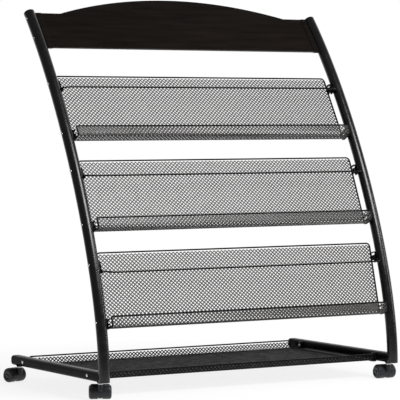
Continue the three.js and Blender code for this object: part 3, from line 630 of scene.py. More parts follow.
def board_finish(name, base):
    """Dark stained board: fine grain along its length, pores and a satin lacquer."""
    material, tree, where = finish_nodes(name)
    turn = {"Vector": where, "Rotation": (HEADER_LEAN, 0, 0), "Scale": (7, 90, 90)}
    along = put(tree, "ShaderNodeMapping", turn).outputs[0]
    grain = ranged(tree, speckle(tree, along, 1.0, 6, 0.62), 0.0, 1.0, 0.32, 0.68)
    tint = tinted(tree, grain, lift(base, 0.75), lift(base, 1.45))
    pores = speckle(tree, along, 3.2, 3, 0.5)
    return dressed(material, tint, ranged(tree, pores, 0.5, 0.68), (0.18, 0.15, pores), {GLOSS: 0.02})


def plastic_finish(name, base, roughness, gloss):
    """Moulded plastic: fine spark texture and slight flow marks."""
    material, tree, where = finish_nodes(name)
    flow = ranged(tree, speckle(tree, where, 60, 4), 0.0, 1.0)
    tint = tinted(tree, flow, lift(base, 0.8), lift(base, 1.35))
    texture = speckle(tree, where, 1600, 2)
    rough = ranged(tree, texture, roughness * 0.85, roughness * 1.2)
    return dressed(material, tint, rough, (0.12, 0.08, texture), {GLOSS: gloss})


def wheel_finish(name, base):
    """Hard wheel plastic: smooth faces, and a scuffed, dusty tread marked by the tread attribute."""
    material, tree, where = finish_nodes(name)
    tread = put(tree, "ShaderNodeAttribute", attribute_name="tread").outputs["Fac"]
    scuff = ranged(tree, speckle(tree, where, 260, 5, 0.65), 0.0, 1.0, 0.42, 0.66)
    worn = calc(tree, "MULTIPLY", tread, scuff)
    tint = tinted(tree, worn, base, lift(base, 1.6, 0.004))
    faces = ranged(tree, speckle(tree, where, 90, 3), 0.26, 0.36)
    rough = calc(tree, "ADD", faces, calc(tree, "MULTIPLY", worn, 0.3))
    return dressed(material, tint, rough, (0.1, 0.1, speckle(tree, where, 900, 2)), {GLOSS: 0.4})


def metal_finish(name, base, plating, roughness, lines):
    """Plated metal: slight tint of the plating, fine turning lines and uneven polish."""
    material, tree, where = finish_nodes(name)
    patch = ranged(tree, speckle(tree, where, 180, 3), 0.0, 1.0)
    tint = tinted(tree, patch, base, plating)
    rough = ranged(tree, speckle(tree, where, 700, 3), roughness * 0.75, roughness * 1.3)
    stretched = put(tree, "ShaderNodeMapping", {"Vector": where, "Scale": lines}).outputs[0]
    return dressed(material, tint, rough, (0.15, 0.05, speckle(tree, stretched, 1)), {"Metallic": 1.0})


# Each finish: its maker, its colour setting and the maker's other values
FINISHES = {
    "gloss_black_tube": (paint_finish, "paint", 0.26, 0.05, 0.55),
    "satin_black_rail": (paint_finish, "paint", 0.28, 0.06, 0.035),
    "gloss_black_wire": (paint_finish, "paint", 0.3, 0.08, 0.12),
    # Painted light: a lighter grey on the black strands stands in for the studio light on them
    "black_mesh_paint": (paint_finish, "mesh", 0.45, 0.15, 0.7),
    # Painted shade: a darker copy of the mesh paint stands in for the base sheet's shade
    "base_mesh_paint": (paint_finish, "base_mesh", 0.5, 0.15, 0.07),
    # Painted light: lighter, glossier brown on the board's edges stands in for the floor's light
    "board_edge_band": (paint_finish, "board_edge", 0.4, 0.1, 0.6),
    "stained_header_board": (board_finish, "board"),
    "moulded_black": (plastic_finish, "plastic", 0.42, 0.15),
    # Painted sheen: the hood and wheel colours are lightened to stand in for the light's sheen on the plastic
    "hood_black": (plastic_finish, "hood", 0.38, 0.35),
    "wheel_black": (wheel_finish, "wheel"),
    "bright_zinc_plate": (metal_finish, "zinc", (0.74, 0.76, 0.80), 0.24, (90, 2500, 2500)),
    "turned_steel": (metal_finish, "steel", (0.62, 0.63, 0.66), 0.28, (90, 90, 4000)),
}


def finish(name):
    """The named finish, made when it is first asked for."""
    if name not in bpy.data.materials:
        maker, base, *values = FINISHES[name]
        maker(name, tuple(getattr(bpy.context.scene.rack_finish, base)), *values)
    return bpy.data.materials[name]


# Pieces
class RACK_OT_uprights(Operator):
    """Build the two bowed uprights with their head caps and foot plugs"""

    bl_idname = "rack.uprights"
    bl_label = "Uprights"

    def execute(self, context):
        sizes = context.scene.rack_tubes
        tree = bowed_tube_tree()
        radius = sizes.diameter / 2
        lean = Vector((0, math.sin(sizes.head_lean), math.cos(sizes.head_lean)))
        for name, side in ENDS:
            foot = Vector((side * UPRIGHT_X, FOOT_Y, FOOT_Z))
            head = foot + Vector((0, sizes.setback, sizes.height))
            bow = {
                "Foot": foot,
                "Foot Handle": foot + Vector((0, 0, sizes.foot_arm)),
                "Head Handle": head - lean * sizes.head_arm,
                "Head": head,
                "Diameter": sizes.diameter,
                "Steps": BOW_STEPS,
                "Sides": ROUND_SIDES,
                "Material": finish("gloss_black_tube"),
            }
            tube = grown(f"{name}_bowed_tube", path_mesh("bow", [foot, head]), tree, bow)
            smooth(tube.data, 40)
            settle(tube, "black_paint", f"{name}_upright")
            # Head cap: a plug in the tube, a rim over its wall and a level crown
            shape = bmesh.new()
            bore = 0.8 * radius
            crown = 2.9 * MM
            edge = 0.6 * MM
            profile = [(bore, -12 * MM), (bore, 0.2 * MM), (radius, 0.3 * MM)]
            profile += arc((radius - edge, 2.2 * MM), edge, 0, 80, 5)
            profile += [(0.6 * radius, crown), (0, crown)]
            at_head = Matrix.Translation(head) @ Matrix.Rotation(-sizes.head_lean, 4, "X")
            turned(shape, profile, ROUND_SIDES, at_head)
            cap = piece_from(f"{name}_head_cap", shape, "moulded_black")
            settle(cap, "black_plastic", f"{name}_upright_cap")
            # Foot plug: a shallow round under the tube
            shape = bmesh.new()
            bore = 0.7 * radius
            edge = 1.4 * MM
            profile = [(0, -1.6 * MM), (bore, -1.5 * MM)]
            profile += arc((radius - edge, 0), edge, -80, 0, 5)
            profile += [(radius - 0.2 * MM, 0.4 * MM), (bore, 8 * MM)]
            turned(shape, profile, ROUND_SIDES, Matrix.Translation(foot))
            plug = piece_from(f"{name}_foot_plug", shape, "moulded_black")
            settle(plug, "black_plastic")
        return {"FINISHED"}


class RACK_OT_base_rails(Operator):
    """Build the two base rails with their caster bosses, weld beads and rear plugs"""

    bl_idname = "rack.base_rails"
    bl_label = "Base rails"

    def execute(self, context):
        sizes = context.scene.rack_tubes
        level = RAIL_TOP - sizes.rail_height / 2
        outline = rounded_outline(sizes.rail_width, sizes.rail_height, sizes.rail_corner, 8)
        for name, side in ENDS:
            x = side * UPRIGHT_X
            shape = bmesh.new()
            edge = 0.6 * MM
            sections = []
            for y, inset in ((FOOT_Y, 0), (RAIL_END - edge, 0), (RAIL_END, edge)):
                shrink = 1 - 2 * inset / sizes.rail_height
                sections.append([Vector((x + u * shrink, y, level + v * shrink)) for u, v in outline])
            lofted(shape, sections)
            for end in ("front", "rear"):
                stem = middle_of(f"{end}_{name}_caster_stem")
                profile = [(7 * MM, 0.3 * MM), (7.3 * MM, 0), (9 * MM, 3.2 * MM), (10 * MM, 4.4 * MM)]
                turned(shape, profile, 32, Matrix.Translation((stem.x, stem.y, BOSS_BOTTOM)))
            rail = piece_from(f"{name}_rail_tube", shape, "satin_black_rail")
            settle(rail, "black_paint", f"{name}_base_rail")
            self.weld_bead(context, name, x, level, outline)
            shape = bmesh.new()
            depth = PLUG_END - RAIL_END
            sections = []
            for share, inset in PLUG_DOME:
                narrowed = 1 - 2 * inset * MM / sizes.rail_width
                lowered = 1 - 2 * inset * MM / sizes.rail_height
                y = RAIL_END + share * depth
                sections.append([Vector((x + u * narrowed, y, level + v * lowered)) for u, v in outline])
            lofted(shape, sections)
            plug = piece_from(f"{name}_rail_end", shape, "moulded_black", 50)
            settle(plug, "black_plastic", f"{name}_rail_plug")
        return {"FINISHED"}

    def weld_bead(self, context, name, x, level, outline):
        """Bead where a rail meets the round of its upright."""
        sizes = context.scene.rack_tubes
        radius = sizes.diameter / 2
        sunk = 0.97
        hugging = 0.96
        points = []
        for u, v in outline:
            reach = math.sqrt(max(0, radius**2 - (hugging * u) ** 2))
            points.append(Vector((x + sunk * u, FOOT_Y + reach + 0.3 * MM, level + sunk * v)))
        apart = [p for i, p in enumerate(points) if (p - points[i - 1]).length > 0.2 * MM]
        links = {
            "Diameter": sizes.weld,
            "Fold Steps": 1,
            "Sides": 10,
            "Material": finish("gloss_black_wire"),
        }
        path = path_mesh("bead", apart, [0.1 * MM] * len(apart), True)
        bead = grown(f"{name}_rail_weld", path, wire_tree(), links)
        bead.data.shade_smooth()
        settle(bead, "black_paint")


class RACK_OT_header(Operator):
    """Build the arched header board and its two end strips"""

    bl_idname = "rack.header"
    bl_label = "Header"

    def execute(self, context):
        sizes = context.scene.rack_header
        half = INNER_FACE - 0.3 * MM
        arch_half = half - sizes.shoulder_width
        radius = (arch_half**2 + sizes.arch_rise**2) / (2 * sizes.arch_rise)
        sweep = math.degrees(math.asin(arch_half / radius))
        centre = (0, sizes.shoulder + sizes.arch_rise - radius)
        outline = [(-half, -sizes.below), (half, -sizes.below), (half, sizes.shoulder)]
        outline += arc(centre, radius, 90 - sweep, 90 + sweep, BOW_STEPS)
        outline += [(-half, sizes.shoulder)]
        shape = bmesh.new()
        face = shape.faces.new([shape.verts.new((x, -sizes.thickness / 2, z)) for x, z in outline])
        pulled = bmesh.ops.extrude_face_region(shape, geom=[face])
        moved = [v for v in pulled["geom"] if isinstance(v, bmesh.types.BMVert)]
        bmesh.ops.translate(shape, vec=(0, sizes.thickness, 0), verts=moved)
        rims = [e for e in shape.edges if abs(e.verts[0].co.y - e.verts[1].co.y) < TINY]
        bmesh.ops.bevel(shape, geom=rims, offset=0.9 * MM, segments=3, profile=0.5, affect="EDGES")
        bmesh.ops.transform(shape, matrix=HEADER_PLACE, verts=shape.verts)
        board = piece_from("header_board", shape, "stained_header_board")
        # Painted light: faces turned away from the board's faces take the lighter edge brown, which stands in
        # for the floor's light on the edges
        board.data.materials.append(finish("board_edge_band"))
        facing = HEADER_PLACE.to_3x3() @ Vector((0, 1, 0))
        half_turned = 0.5
        for side in board.data.polygons:
            side.material_index = int(abs(side.normal.dot(facing)) < half_turned)
        settle(board, "header_board", "header_panel")
        shape = bmesh.new()
        for side in (-1, 1):
            left, right = sorted((side * half, side * (half - sizes.strip_width)))
            low = (left, -sizes.strip_depth / 2, -sizes.below)
            high = (right, sizes.strip_depth / 2, sizes.shoulder)
            soft_block(shape, low, high, 1.8 * MM, HEADER_PLACE)
        strips = piece_from("header_end_strips", shape, "stained_header_board")
        settle(strips, "black_paint")
        return {"FINISHED"}


def strand_pair(sizes):
    """Two strands that rise from one crossing of the mesh to the next ones."""
    shape = bmesh.new()
    overlap = 0.2 * MM
    for side in (-1, 1):
        end = Vector((side * sizes.cell_width / 2, sizes.cell_height / 2, 0))
        along = end.normalized()
        across = Vector((-along.y, along.x, 0)) * sizes.strand / 2
        rise = Vector((0, 0, sizes.strand_depth / 2))
        corners = [across + rise * 0.6, rise, -across + rise * 0.6, -across - rise, across - rise]
        spots = (along * -overlap, end + along * overlap)
        lofted(shape, [[spot + corner for corner in corners] for spot in spots], False)
    return placed("strand_pair", mesh_of("strand_pair", shape))


def bent_wire(name, corners, diameter, closed):
    """Wire through corners, each a point and its fold radius."""
    path = path_mesh("path", [p for p, bend in corners], [bend for p, bend in corners], closed)
    links = {"Diameter": diameter, "Fold Steps": 7, "Sides": 14, "Material": finish("gloss_black_wire")}
    wire = grown(name, path, wire_tree(), links)
    smooth(wire.data, 50)
    return wire


def both_ends(run, place):
    """Corners of a wire from its left end to its right one, from the run of corners at its right end."""
    left = [((-x, y, z), bend) for (x, y, z), bend in run]
    return [(place @ Vector(point), bend) for point, bend in left + run[::-1]]


def folded_tray(name, place, half_width, corner, fold, paint):
    """Mesh sheet of a tray and the wire round it. The fold is its back, front, floor, top and lip."""
    sizes = bpy.context.scene.rack_trays
    bend = sizes.bend
    back, front, floor, top, lip = fold
    section = [(front, lip)]
    section += arc((front + bend, floor + bend), bend, 180, 270, FOLD_STEPS)
    section += arc((back - bend, floor + bend), bend, 270, 360, FOLD_STEPS)
    section += [(back, top)]
    path = path_mesh("section", [place @ Vector((0, y, z)) for y, z in section])
    strands = strand_pair(sizes)
    links = {
        "Width": 2 * half_width,
        "Cell Width": sizes.cell_width,
        "Cell Height": sizes.cell_height,
        "Corner": corner,
        "Strands": strands,
        "Material": finish(paint),
    }
    tree = bpy.data.node_groups.get("Diamond Mesh") or diamond_mesh_tree()
    sheet = grown(f"{name}_mesh_sheet", path, tree, links)
    bpy.data.objects.remove(strands)
    settle(sheet, "black_mesh", f"{name}_tray_mesh")
    run = [
        ((half_width, back, top), corner),
        ((half_width, back, floor), bend),
        ((half_width, front, floor), bend),
        ((half_width, front, lip), 3 * MM),
    ]
    rim = bent_wire(f"{name}_rim_wire", both_ends(run, place), sizes.rim, True)
    settle(rim, "black_paint", f"{name}_tray_rim")


def weld_nut(shape, screw_end, side):
    """Six-sided nut on the inner face of a bracket, over the end of its screw."""
    sizes = bpy.context.scene.rack_screws
    radius = sizes.nut / 2
    face = 0.4 * MM
    corner = 0.5 * MM
    profile = [(0, face - sizes.nut_depth), (radius, face - sizes.nut_depth), (radius, face - corner)]
    profile += [(radius - corner, face), (0, face)]
    turned(shape, profile, 6, screw_end @ Matrix.Rotation(math.radians(-90 * side), 4, "Y"))


class RACK_OT_trays(Operator):
    """Build the three leaning trays: mesh sheets, rim wires, end brackets and keeper wires"""

    bl_idname = "rack.trays"
    bl_label = "Leaning trays"

    def execute(self, context):
        sizes = context.scene.rack_trays
        for tier in TIERS:
            screws = [f"{tier}_tray_{row}_left_screw" for row in ("lower", "upper")]
            place, spacing, _ = leaning_place(*screws)
            fold = (sizes.back, sizes.back - sizes.depth, sizes.floor, sizes.top, sizes.lip_top)
            folded_tray(tier, place, RIM_X, sizes.corner, fold, "black_mesh_paint")
            self.keeper(context.scene, tier, place, spacing)
            self.brackets(context.scene, tier, place, spacing)
        return {"FINISHED"}

    def keeper(self, scene, tier, place, spacing):
        """Keeper wire from the front of one upper bracket, across and back to the other."""
        sizes = scene.rack_trays
        end_x = (RIM_X + INNER_FACE) / 2
        run_x = RIM_X - 10 * MM
        end_y = -7 * MM
        end_z = spacing - 18 * MM
        run_z = spacing - sizes.keeper_drop
        bend = 8 * MM
        run = [
            ((end_x, end_y, end_z), 0),
            ((end_x, end_y - bend, end_z), bend / 2),
            ((run_x, -sizes.keeper_forward, run_z), 4 * bend),
        ]
        wire = bent_wire(f"{tier}_keeper", both_ends(run, place), sizes.keeper, False)
        settle(wire, "black_paint", f"{tier}_keeper_wire")

    def brackets(self, scene, tier, place, spacing):
        """Slotted steel brackets between the rim wire and the uprights."""
        sizes = scene.rack_trays
        rear = sizes.back + sizes.rim / 2 + 0.3 * MM
        wire_side = RIM_X - sizes.rim / 2 - 0.3 * MM
        tube_side = INNER_FACE - 0.2 * MM
        foot = tube_side - 2.4 * MM
        post = wire_side + 3.2 * MM
        screw_end = abs(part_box(f"{tier}_tray_lower_left_screw")[1].x)
        shape = bmesh.new()
        for side in (-1, 1):
            for level, bars, front in ((0, LOWER_BARS, -6 * MM), (spacing, UPPER_BARS, 2 * MM)):
                top = bars[0][1] * MM
                bottom = bars[-1][0] * MM
                blocks = [(foot, tube_side, -4.5 * MM, 6 * MM, bottom, top)]
                blocks.append((wire_side, post, rear - 6 * MM, rear, bottom, top))
                for low, high in bars:
                    bar = (wire_side, tube_side - 1 * MM, front, rear - 0.6 * MM, low * MM, high * MM)
                    blocks.append(bar)
                if level:
                    holder = (wire_side + tube_side) / 2
                    blocks.append((holder - 2 * MM, holder + 2 * MM, -7 * MM, 8 * MM, -21 * MM, -12 * MM))
                for near, far, y0, y1, z0, z1 in blocks:
                    x0, x1 = sorted((side * near, side * far))
                    soft_block(shape, (x0, y0, level + z0), (x1, y1, level + z1), BRACKET_EDGE, place)
                weld_nut(shape, place @ Matrix.Translation((side * screw_end, 0, level)), side)
        clips = piece_from(f"{tier}_end_brackets", shape, "gloss_black_wire")
        settle(clips, "black_paint")


class RACK_OT_base_tray(Operator):
    """Build the shallow mesh tray between the base rails"""

    bl_idname = "rack.base_tray"
    bl_label = "Base tray"

    def execute(self, context):
        sizes = context.scene.rack_base_tray
        low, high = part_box("base_tray_mesh")
        half_sheet = 0.7 * MM
        floor = low.z + half_sheet
        fold = (high.y - half_sheet, low.y + half_sheet, floor, floor + sizes.wall, floor + sizes.lip)
        folded_tray("base", Matrix(), BASE_RIM_X, sizes.wall / 2, fold, "base_mesh_paint")
        shape = bmesh.new()
        nuts = bmesh.new()
        half = sizes.bracket / 2
        grip = context.scene.rack_trays.rim / 2 + 0.3 * MM
        for name, side in ENDS:
            for row in ("front", "rear"):
                low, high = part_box(f"base_{row}_{name}_screw")
                screw = (low + high) / 2
                rail_side = side * (INNER_FACE - 0.2 * MM)
                shelf = (side * (BASE_RIM_X - grip), floor + grip)
                foot = (rail_side - side * 4 * MM, screw.z + half)
                for inner, top in (shelf, foot):
                    left, right = sorted((inner, rail_side))
                    front_corner = (left, screw.y - half, floor - grip)
                    soft_block(shape, front_corner, (right, screw.y + half, top), BRACKET_EDGE)
                screw_end = high.x if side < 0 else low.x
                weld_nut(nuts, Matrix.Translation((screw_end, screw.y, screw.z)), side)
        clips = piece_from("base_end_brackets", shape, "gloss_black_wire")
        settle(clips, "black_paint")
        bright = piece_from("base_end_nuts", nuts, "bright_zinc_plate")
        settle(bright, "bright_zinc")
        return {"FINISHED"}


class RACK_OT_screws(Operator):
    """Build the bright dome-head screws"""

    bl_idname = "rack.screws"
    bl_label = "Screws"

    def execute(self, context):
        sizes = context.scene.rack_screws
        radius = sizes.head / 2
        shank = sizes.shank / 2
        rim = 0.3
        shape = bmesh.new()
        reach = width_of("header_lower_left_screw") - sizes.solid_rise
        profile = [(0, reach), (shank, reach), (shank, 0.2 * MM), (radius, 0), (radius, -rim * sizes.rise)]
        dome = [(share, rim + (1 - rim) * math.sqrt(1 - share**2)) for share in (0.94, 0.84, 0.7, 0.52, 0.4)]
        recess = [(0.36, 0.9), (0.24, 0.45), (0, 0.4)]
        profile += [(radius * share, -sizes.rise * height) for share, height in dome + recess]
        turned(shape, list(reversed(profile)), 16, Matrix())
        for turn in (0, 90):
            place = Matrix.Rotation(math.radians(turn), 4, "Z")
            low = (-radius * 0.62, -radius * 0.09, -sizes.rise * 0.93)
            high = (-radius * 0.3, radius * 0.09, -sizes.rise * 0.5)
            soft_block(shape, low, high, 0.1 * MM, place)
        bmesh.ops.transform(shape, matrix=Matrix.Rotation(math.radians(90), 4, "Y"), verts=shape.verts)
        screw = piece_from("screw", shape, "bright_zinc_plate")
        turn_step = 0.7
        places = []
        facings = []
        nodes = []
        for name in SCREWED:
            for end, side in ENDS:
                node = f"{name}_{end}_screw"
                low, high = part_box(node)
                centre = (low + high) / 2
                under_head = low.x + sizes.solid_rise if side < 0 else high.x - sizes.solid_rise
                places.append((under_head, centre.y, centre.z))
                facings += [turn_step * len(nodes), 0, 0 if side < 0 else math.pi]
                nodes.append(node)
        points = path_mesh("screw_places", places)
        points.attributes.new("facing", "FLOAT_VECTOR", "POINT").data.foreach_set("vector", facings)
        links = {"Screw": screw, "Material": finish("bright_zinc_plate")}
        screws = grown("bright_screws", points, screw_tree(), links)
        bpy.data.objects.remove(screw)
        settle(screws, "bright_zinc", *nodes)
        return {"FINISHED"}


class RACK_OT_casters(Operator):
    """Build the four twin-wheel casters"""

    bl_idname = "rack.casters"
    bl_label = "Casters"

    def execute(self, context):
        steel = finish("turned_steel")
        for corner in CORNERS:
            stem = middle_of(f"{corner}_caster_stem")
            axle = middle_of(f"{corner}_caster_axle")
            heading = math.atan2(axle.y - stem.y, axle.x - stem.x)
            trail = math.hypot(axle.x - stem.x, axle.y - stem.y)
            place = Matrix.Translation((stem.x, stem.y, 0)) @ Matrix.Rotation(heading, 4, "Z")
            self.stem(context.scene, corner, place)
            self.hood(context.scene, corner, place, trail)
            for wheel, side in (("a", 1), ("b", -1)):
                self.wheel(context.scene, corner, wheel, side, place, trail)
            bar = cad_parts[f"{corner}_caster_axle"]
            bar.data.materials.clear()
            bar.data.materials.append(steel)
        return {"FINISHED"}

    def stem(self, scene, corner, place):
        """Bright stem: pin, collar with chamfers and a groove, and thread."""
        sizes = scene.rack_casters
        low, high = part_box(f"{corner}_caster_stem")
        pin = sizes.stem / 2
        collar = sizes.collar / 2
        base = HOOD_TOP + 0.2 * MM
        top = BOSS_BOTTOM - 0.1 * MM
        chamfer = 0.5 * MM
        profile = [(0, low.z), (pin - chamfer, low.z), (pin, low.z + chamfer), (pin, base)]
        profile += [(collar - chamfer, base), (collar, base + chamfer), (collar, base + 1.3 * MM)]
        profile += [(collar - chamfer, base + 1.5 * MM), (collar - chamfer, base + 1.9 * MM)]
        profile += [(collar, base + 2.1 * MM), (collar, top - chamfer), (collar - chamfer, top), (pin, top)]
        pitch = 1.0 * MM
        height = top
        while height < high.z - 1.2 * MM:
            profile += [(pin - 0.4 * MM, height + 0.3 * MM), (pin, height + 0.7 * MM)]
            height += pitch
        profile += [(pin - chamfer, high.z), (0, high.z)]
        shape = bmesh.new()
        turned(shape, profile, 32, place)
        piece = piece_from(f"{corner}_bright_stem", shape, "turned_steel", 30)
        settle(piece, "bright_steel", f"{corner}_caster_stem")

    def hood(self, scene, corner, place, trail):
        """Hood: a web between the wheels, a fender over them and a socket for the stem."""
        sizes = scene.rack_casters
        radius = sizes.wheel_diameter / 2
        inner = radius + sizes.clearance
        outer = inner + sizes.hood_wall
        half = sizes.web / 2 + sizes.clearance + sizes.wheel_width - sizes.hood_inset
        start = 25
        end = 205
        steps = 40
        shape = bmesh.new()
        rounding = [(-share, drop) for share, drop in HOOD_ROUND[:0:-1]]
        rounding += HOOD_ROUND
        sections = []
        for i in range(steps + 1):
            angle = math.radians(start + (end - start) * i / steps)
            taper = 0.35 * MM * max(0, 1 - min(i, steps - i) / 2)
            section = []
            for share, drop in rounding:
                section.append((share * half, outer - drop * sizes.hood_wall - taper))
            section += [(half, inner), (-half, inner)]
            direction = Vector((math.cos(angle), 0, math.sin(angle)))
            centre = Vector((trail, 0, radius))
            sections.append([place @ (centre + direction * r + Vector((0, y, 0))) for y, r in section])
        lofted(shape, sections)
        outline = arc((trail, radius), outer - 0.9 * MM, start, end, steps)
        outline += arc((trail, radius), sizes.web_radius, end, start + 360, 24)
        web = sizes.web / 2
        sections = []
        edge = 0.5 * MM
        for y, inset in ((-web, edge), (-web + edge, 0), (web - edge, 0), (web, edge)):
            shrink = 1 - inset / radius
            section = [(trail + (x - trail) * shrink, y, radius + (z - radius) * shrink) for x, z in outline]
            sections.append([place @ Vector(point) for point in section])
        lofted(shape, sections)
        socket = sizes.socket / 2
        bore = sizes.stem / 2 + 0.2 * MM
        bottom = HOOD_TOP - 16.5 * MM
        profile = [(0, bottom), (socket - 1.5 * MM, bottom), (socket, HOOD_TOP - 15 * MM)]
        profile += [(socket, HOOD_TOP - 1 * MM), (socket - 1 * MM, HOOD_TOP)]
        profile += [(bore, HOOD_TOP), (bore, HOOD_TOP - 4 * MM)]
        turned(shape, profile, 36, place)
        piece = piece_from(f"{corner}_hood_shell", shape, "hood_black", 40)
        settle(piece, "black_plastic", f"{corner}_caster_hood", body=f"{corner}_caster")

    def wheel(self, scene, corner, wheel, side, place, trail):
        """Wheel with a rounded tread, a dished face and a hub button."""
        sizes = scene.rack_casters
        radius = sizes.wheel_diameter / 2
        width = sizes.wheel_width
        edge = 1.2 * MM
        shoulder = sizes.shoulder
        profile = [(0, 0), (radius - edge, 0)]
        profile += arc((radius - edge, edge), edge, -70, 0, 4)
        profile += arc((radius - shoulder, width - shoulder), shoulder, 0, 80, 12)
        profile += [(9.4 * MM, width - 0.1 * MM), (8.0 * MM, width - 1.2 * MM), (5.4 * MM, width - 1.3 * MM)]
        profile += [(5.0 * MM, width - 0.7 * MM), (4.2 * MM, width - 0.2 * MM), (2.2 * MM, width), (0, width)]
        inner = sizes.web / 2 + sizes.clearance
        at_axle = place @ Matrix.Translation((trail, side * inner, radius))
        across = at_axle @ Matrix.Rotation(math.radians(-90 * side), 4, "X")
        shape = bmesh.new()
        turned(shape, profile, 64, across)
        name = f"{corner}_wheel_{wheel}"
        piece = piece_from(f"{name}_rolled", shape, "wheel_black", 40)
        back = across.inverted()
        tread_start = radius - 2.5 * MM
        tread_fade = 2 * MM
        tread = []
        for vertex in piece.data.vertices:
            local = back @ vertex.co
            share = (math.hypot(local.x, local.y) - tread_start) / tread_fade
            tread.append(max(0.0, min(1.0, share)))
        piece.data.attributes.new("tread", "FLOAT", "POINT").data.foreach_set("value", tread)
        settle(piece, "wheel_plastic", f"{corner}_caster_wheel_{wheel}", body=name)


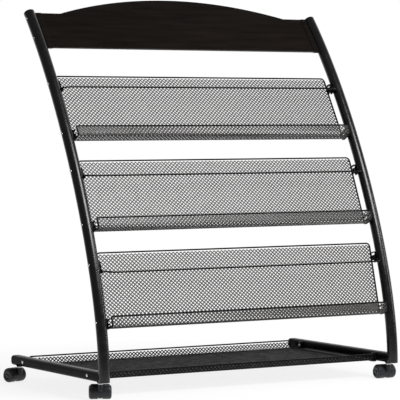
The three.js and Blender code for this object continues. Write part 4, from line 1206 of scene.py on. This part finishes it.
class RACK_OT_stage(Operator):
    """Set the pale floor, the soft studio light and the camera"""

    bl_idname = "rack.stage"
    bl_label = "Stage"

    def execute(self, context):
        scene = context.scene
        sizes = scene.rack_stage
        scene.view_settings.view_transform = "Standard"
        self.surroundings(scene, sizes)
        self.floor(sizes)
        self.softbox("front_softbox", *FRONT_SOFTBOX, sizes.key)
        self.softbox("side_strip", *SIDE_STRIP, sizes.strip)
        lens = bpy.data.cameras.new("photo_camera")
        lens.sensor_width = SENSOR_WIDTH
        lens.lens = sizes.lens
        lens.clip_end = CAMERA_REACH
        camera = placed("photo_camera", lens)
        camera.location = Vector((-UPRIGHT_X, FOOT_Y, FOOT_Z)) + Vector(sizes.camera_place)
        camera.rotation_euler = (math.pi / 2 - sizes.pitch, 0, -sizes.yaw)
        scene.camera = camera
        return {"FINISHED"}

    def seen_rays(self, tree):
        """1 for rays from the camera, from gloss and through glass, 0 for the light that falls on things."""
        path = tree.nodes.new("ShaderNodeLightPath").outputs
        seen = calc(tree, "MAXIMUM", path["Is Camera Ray"], path["Is Glossy Ray"])
        return calc(tree, "MAXIMUM", seen, path["Is Transmission Ray"])

    def backdrop(self, tree, direction, sizes):
        """White to the camera; gloss and glass show white behind the rack and a grey room beside it."""
        ahead = (math.sin(sizes.yaw), math.cos(sizes.yaw), 0)
        facing = vector_calc(tree, "DOT_PRODUCT", direction, ahead)["Value"]
        shade = ranged(tree, facing, sizes.room, 1.0, 0.3, 0.65)
        return calc(tree, "MAXIMUM", shade, tree.nodes.new("ShaderNodeLightPath").outputs["Is Camera Ray"])

    def surroundings(self, scene, sizes):
        world = bpy.data.worlds.new("white_studio")
        scene.world = world
        tree = bare_tree(world)
        light = put(tree, "ShaderNodeBackground", {"Color": WHITE, "Strength": sizes.fill})
        direction = tree.nodes.new("ShaderNodeTexCoord").outputs["Generated"]
        shade = self.backdrop(tree, direction, sizes)
        white = put(tree, "ShaderNodeBackground", {"Color": WHITE, "Strength": shade})
        mixed = {0: self.seen_rays(tree), 1: light.outputs[0], 2: white.outputs[0]}
        mix = put(tree, "ShaderNodeMixShader", mixed)
        put(tree, "ShaderNodeOutputWorld", {"Surface": mix.outputs[0]})

    def floor(self, sizes):
        material = bpy.data.materials.new("pale_floor")
        tree = bare_tree(material)
        matt = put(tree, "ShaderNodeBsdfDiffuse", {"Color": FLOOR_GREY})
        faint = put(tree, "ShaderNodeBsdfDiffuse", {"Color": FLOOR_SHADOW})
        glow = put(tree, "ShaderNodeEmission", {"Color": WHITE, "Strength": FLOOR_GLOW})
        pale = put(tree, "ShaderNodeAddShader", {0: faint.outputs[0], 1: glow.outputs[0]})
        where = tree.nodes.new("ShaderNodeTexCoord").outputs["Object"]
        distance = vector_calc(tree, "LENGTH", where)["Value"]
        direction = vector_calc(tree, "NORMALIZE", where)["Vector"]
        far = ranged(tree, distance, 0.0, 1.0, *FLOOR_FADE)
        beyond = ranged(tree, distance, 0.0, 1.0, *ROOM_FADE)
        darker = calc(tree, "SUBTRACT", 1.0, self.backdrop(tree, direction, sizes))
        loss = calc(tree, "MULTIPLY", beyond, darker)
        shade = calc(tree, "SUBTRACT", 1.0, loss)
        white = put(tree, "ShaderNodeEmission", {"Color": WHITE, "Strength": shade})
        faded = put(tree, "ShaderNodeMixShader", {0: far, 1: pale.outputs[0], 2: white.outputs[0]})
        mixed = {0: self.seen_rays(tree), 1: matt.outputs[0], 2: faded.outputs[0]}
        mix = put(tree, "ShaderNodeMixShader", mixed)
        put(tree, "ShaderNodeOutputMaterial", {"Surface": mix.outputs[0]})
        mesh = bpy.data.meshes.new("floor")
        square = ((-1, -1), (1, -1), (1, 1), (-1, 1))
        mesh.from_pydata([(x * FLOOR_REACH, y * FLOOR_REACH, 0) for x, y in square], [], [(0, 1, 2, 3)])
        mesh.materials.append(material)
        floor = placed("floor", mesh)

    def softbox(self, name, place, target, size, power):
        light = bpy.data.lights.new(name, "AREA")
        light.shape = "RECTANGLE"
        light.size, light.size_y = size
        light.energy = power
        lamp = placed(name, light)
        lamp.location = place
        lamp.rotation_euler = (Vector(target) - Vector(place)).to_track_quat("-Z", "Y").to_euler()
        lamp.visible_camera = False


SETTINGS = {
    "rack_tubes": TubeSettings,
    "rack_header": HeaderSettings,
    "rack_trays": TraySettings,
    "rack_base_tray": BaseTraySettings,
    "rack_casters": CasterSettings,
    "rack_screws": ScrewSettings,
    "rack_finish": FinishSettings,
    "rack_stage": StageSettings,
}
OPERATORS = (
    RACK_OT_uprights,
    RACK_OT_base_rails,
    RACK_OT_header,
    RACK_OT_trays,
    RACK_OT_base_tray,
    RACK_OT_screws,
    RACK_OT_casters,
    RACK_OT_stage,
)


class RACK_PT_builder(Panel):
    """Lists the rack's pieces and their sizes"""

    bl_label = "Display Rack"
    bl_idname = "RACK_PT_builder"
    bl_space_type = "VIEW_3D"
    bl_region_type = "UI"
    bl_category = "Display Rack"

    def draw(self, context):
        for operator in OPERATORS:
            self.layout.operator(operator.bl_idname)
        for name, group in SETTINGS.items():
            box = self.layout.box()
            settings = getattr(context.scene, name)
            for field in group.__annotations__:
                box.prop(settings, field)


CLASSES = (*SETTINGS.values(), *OPERATORS, RACK_PT_builder)


def register():
    for item in CLASSES:
        bpy.utils.register_class(item)
    for name, group in SETTINGS.items():
        setattr(bpy.types.Scene, name, PointerProperty(type=group))


def unregister():
    for name in SETTINGS:
        delattr(bpy.types.Scene, name)
    for item in reversed(CLASSES):
        bpy.utils.unregister_class(item)


def main():
    register()
    bpy.ops.rack.uprights()
    bpy.ops.rack.base_rails()
    bpy.ops.rack.header()
    bpy.ops.rack.trays()
    bpy.ops.rack.base_tray()
    bpy.ops.rack.screws()
    bpy.ops.rack.casters()
    bpy.ops.rack.stage()


if __name__ == "__main__":
    main()
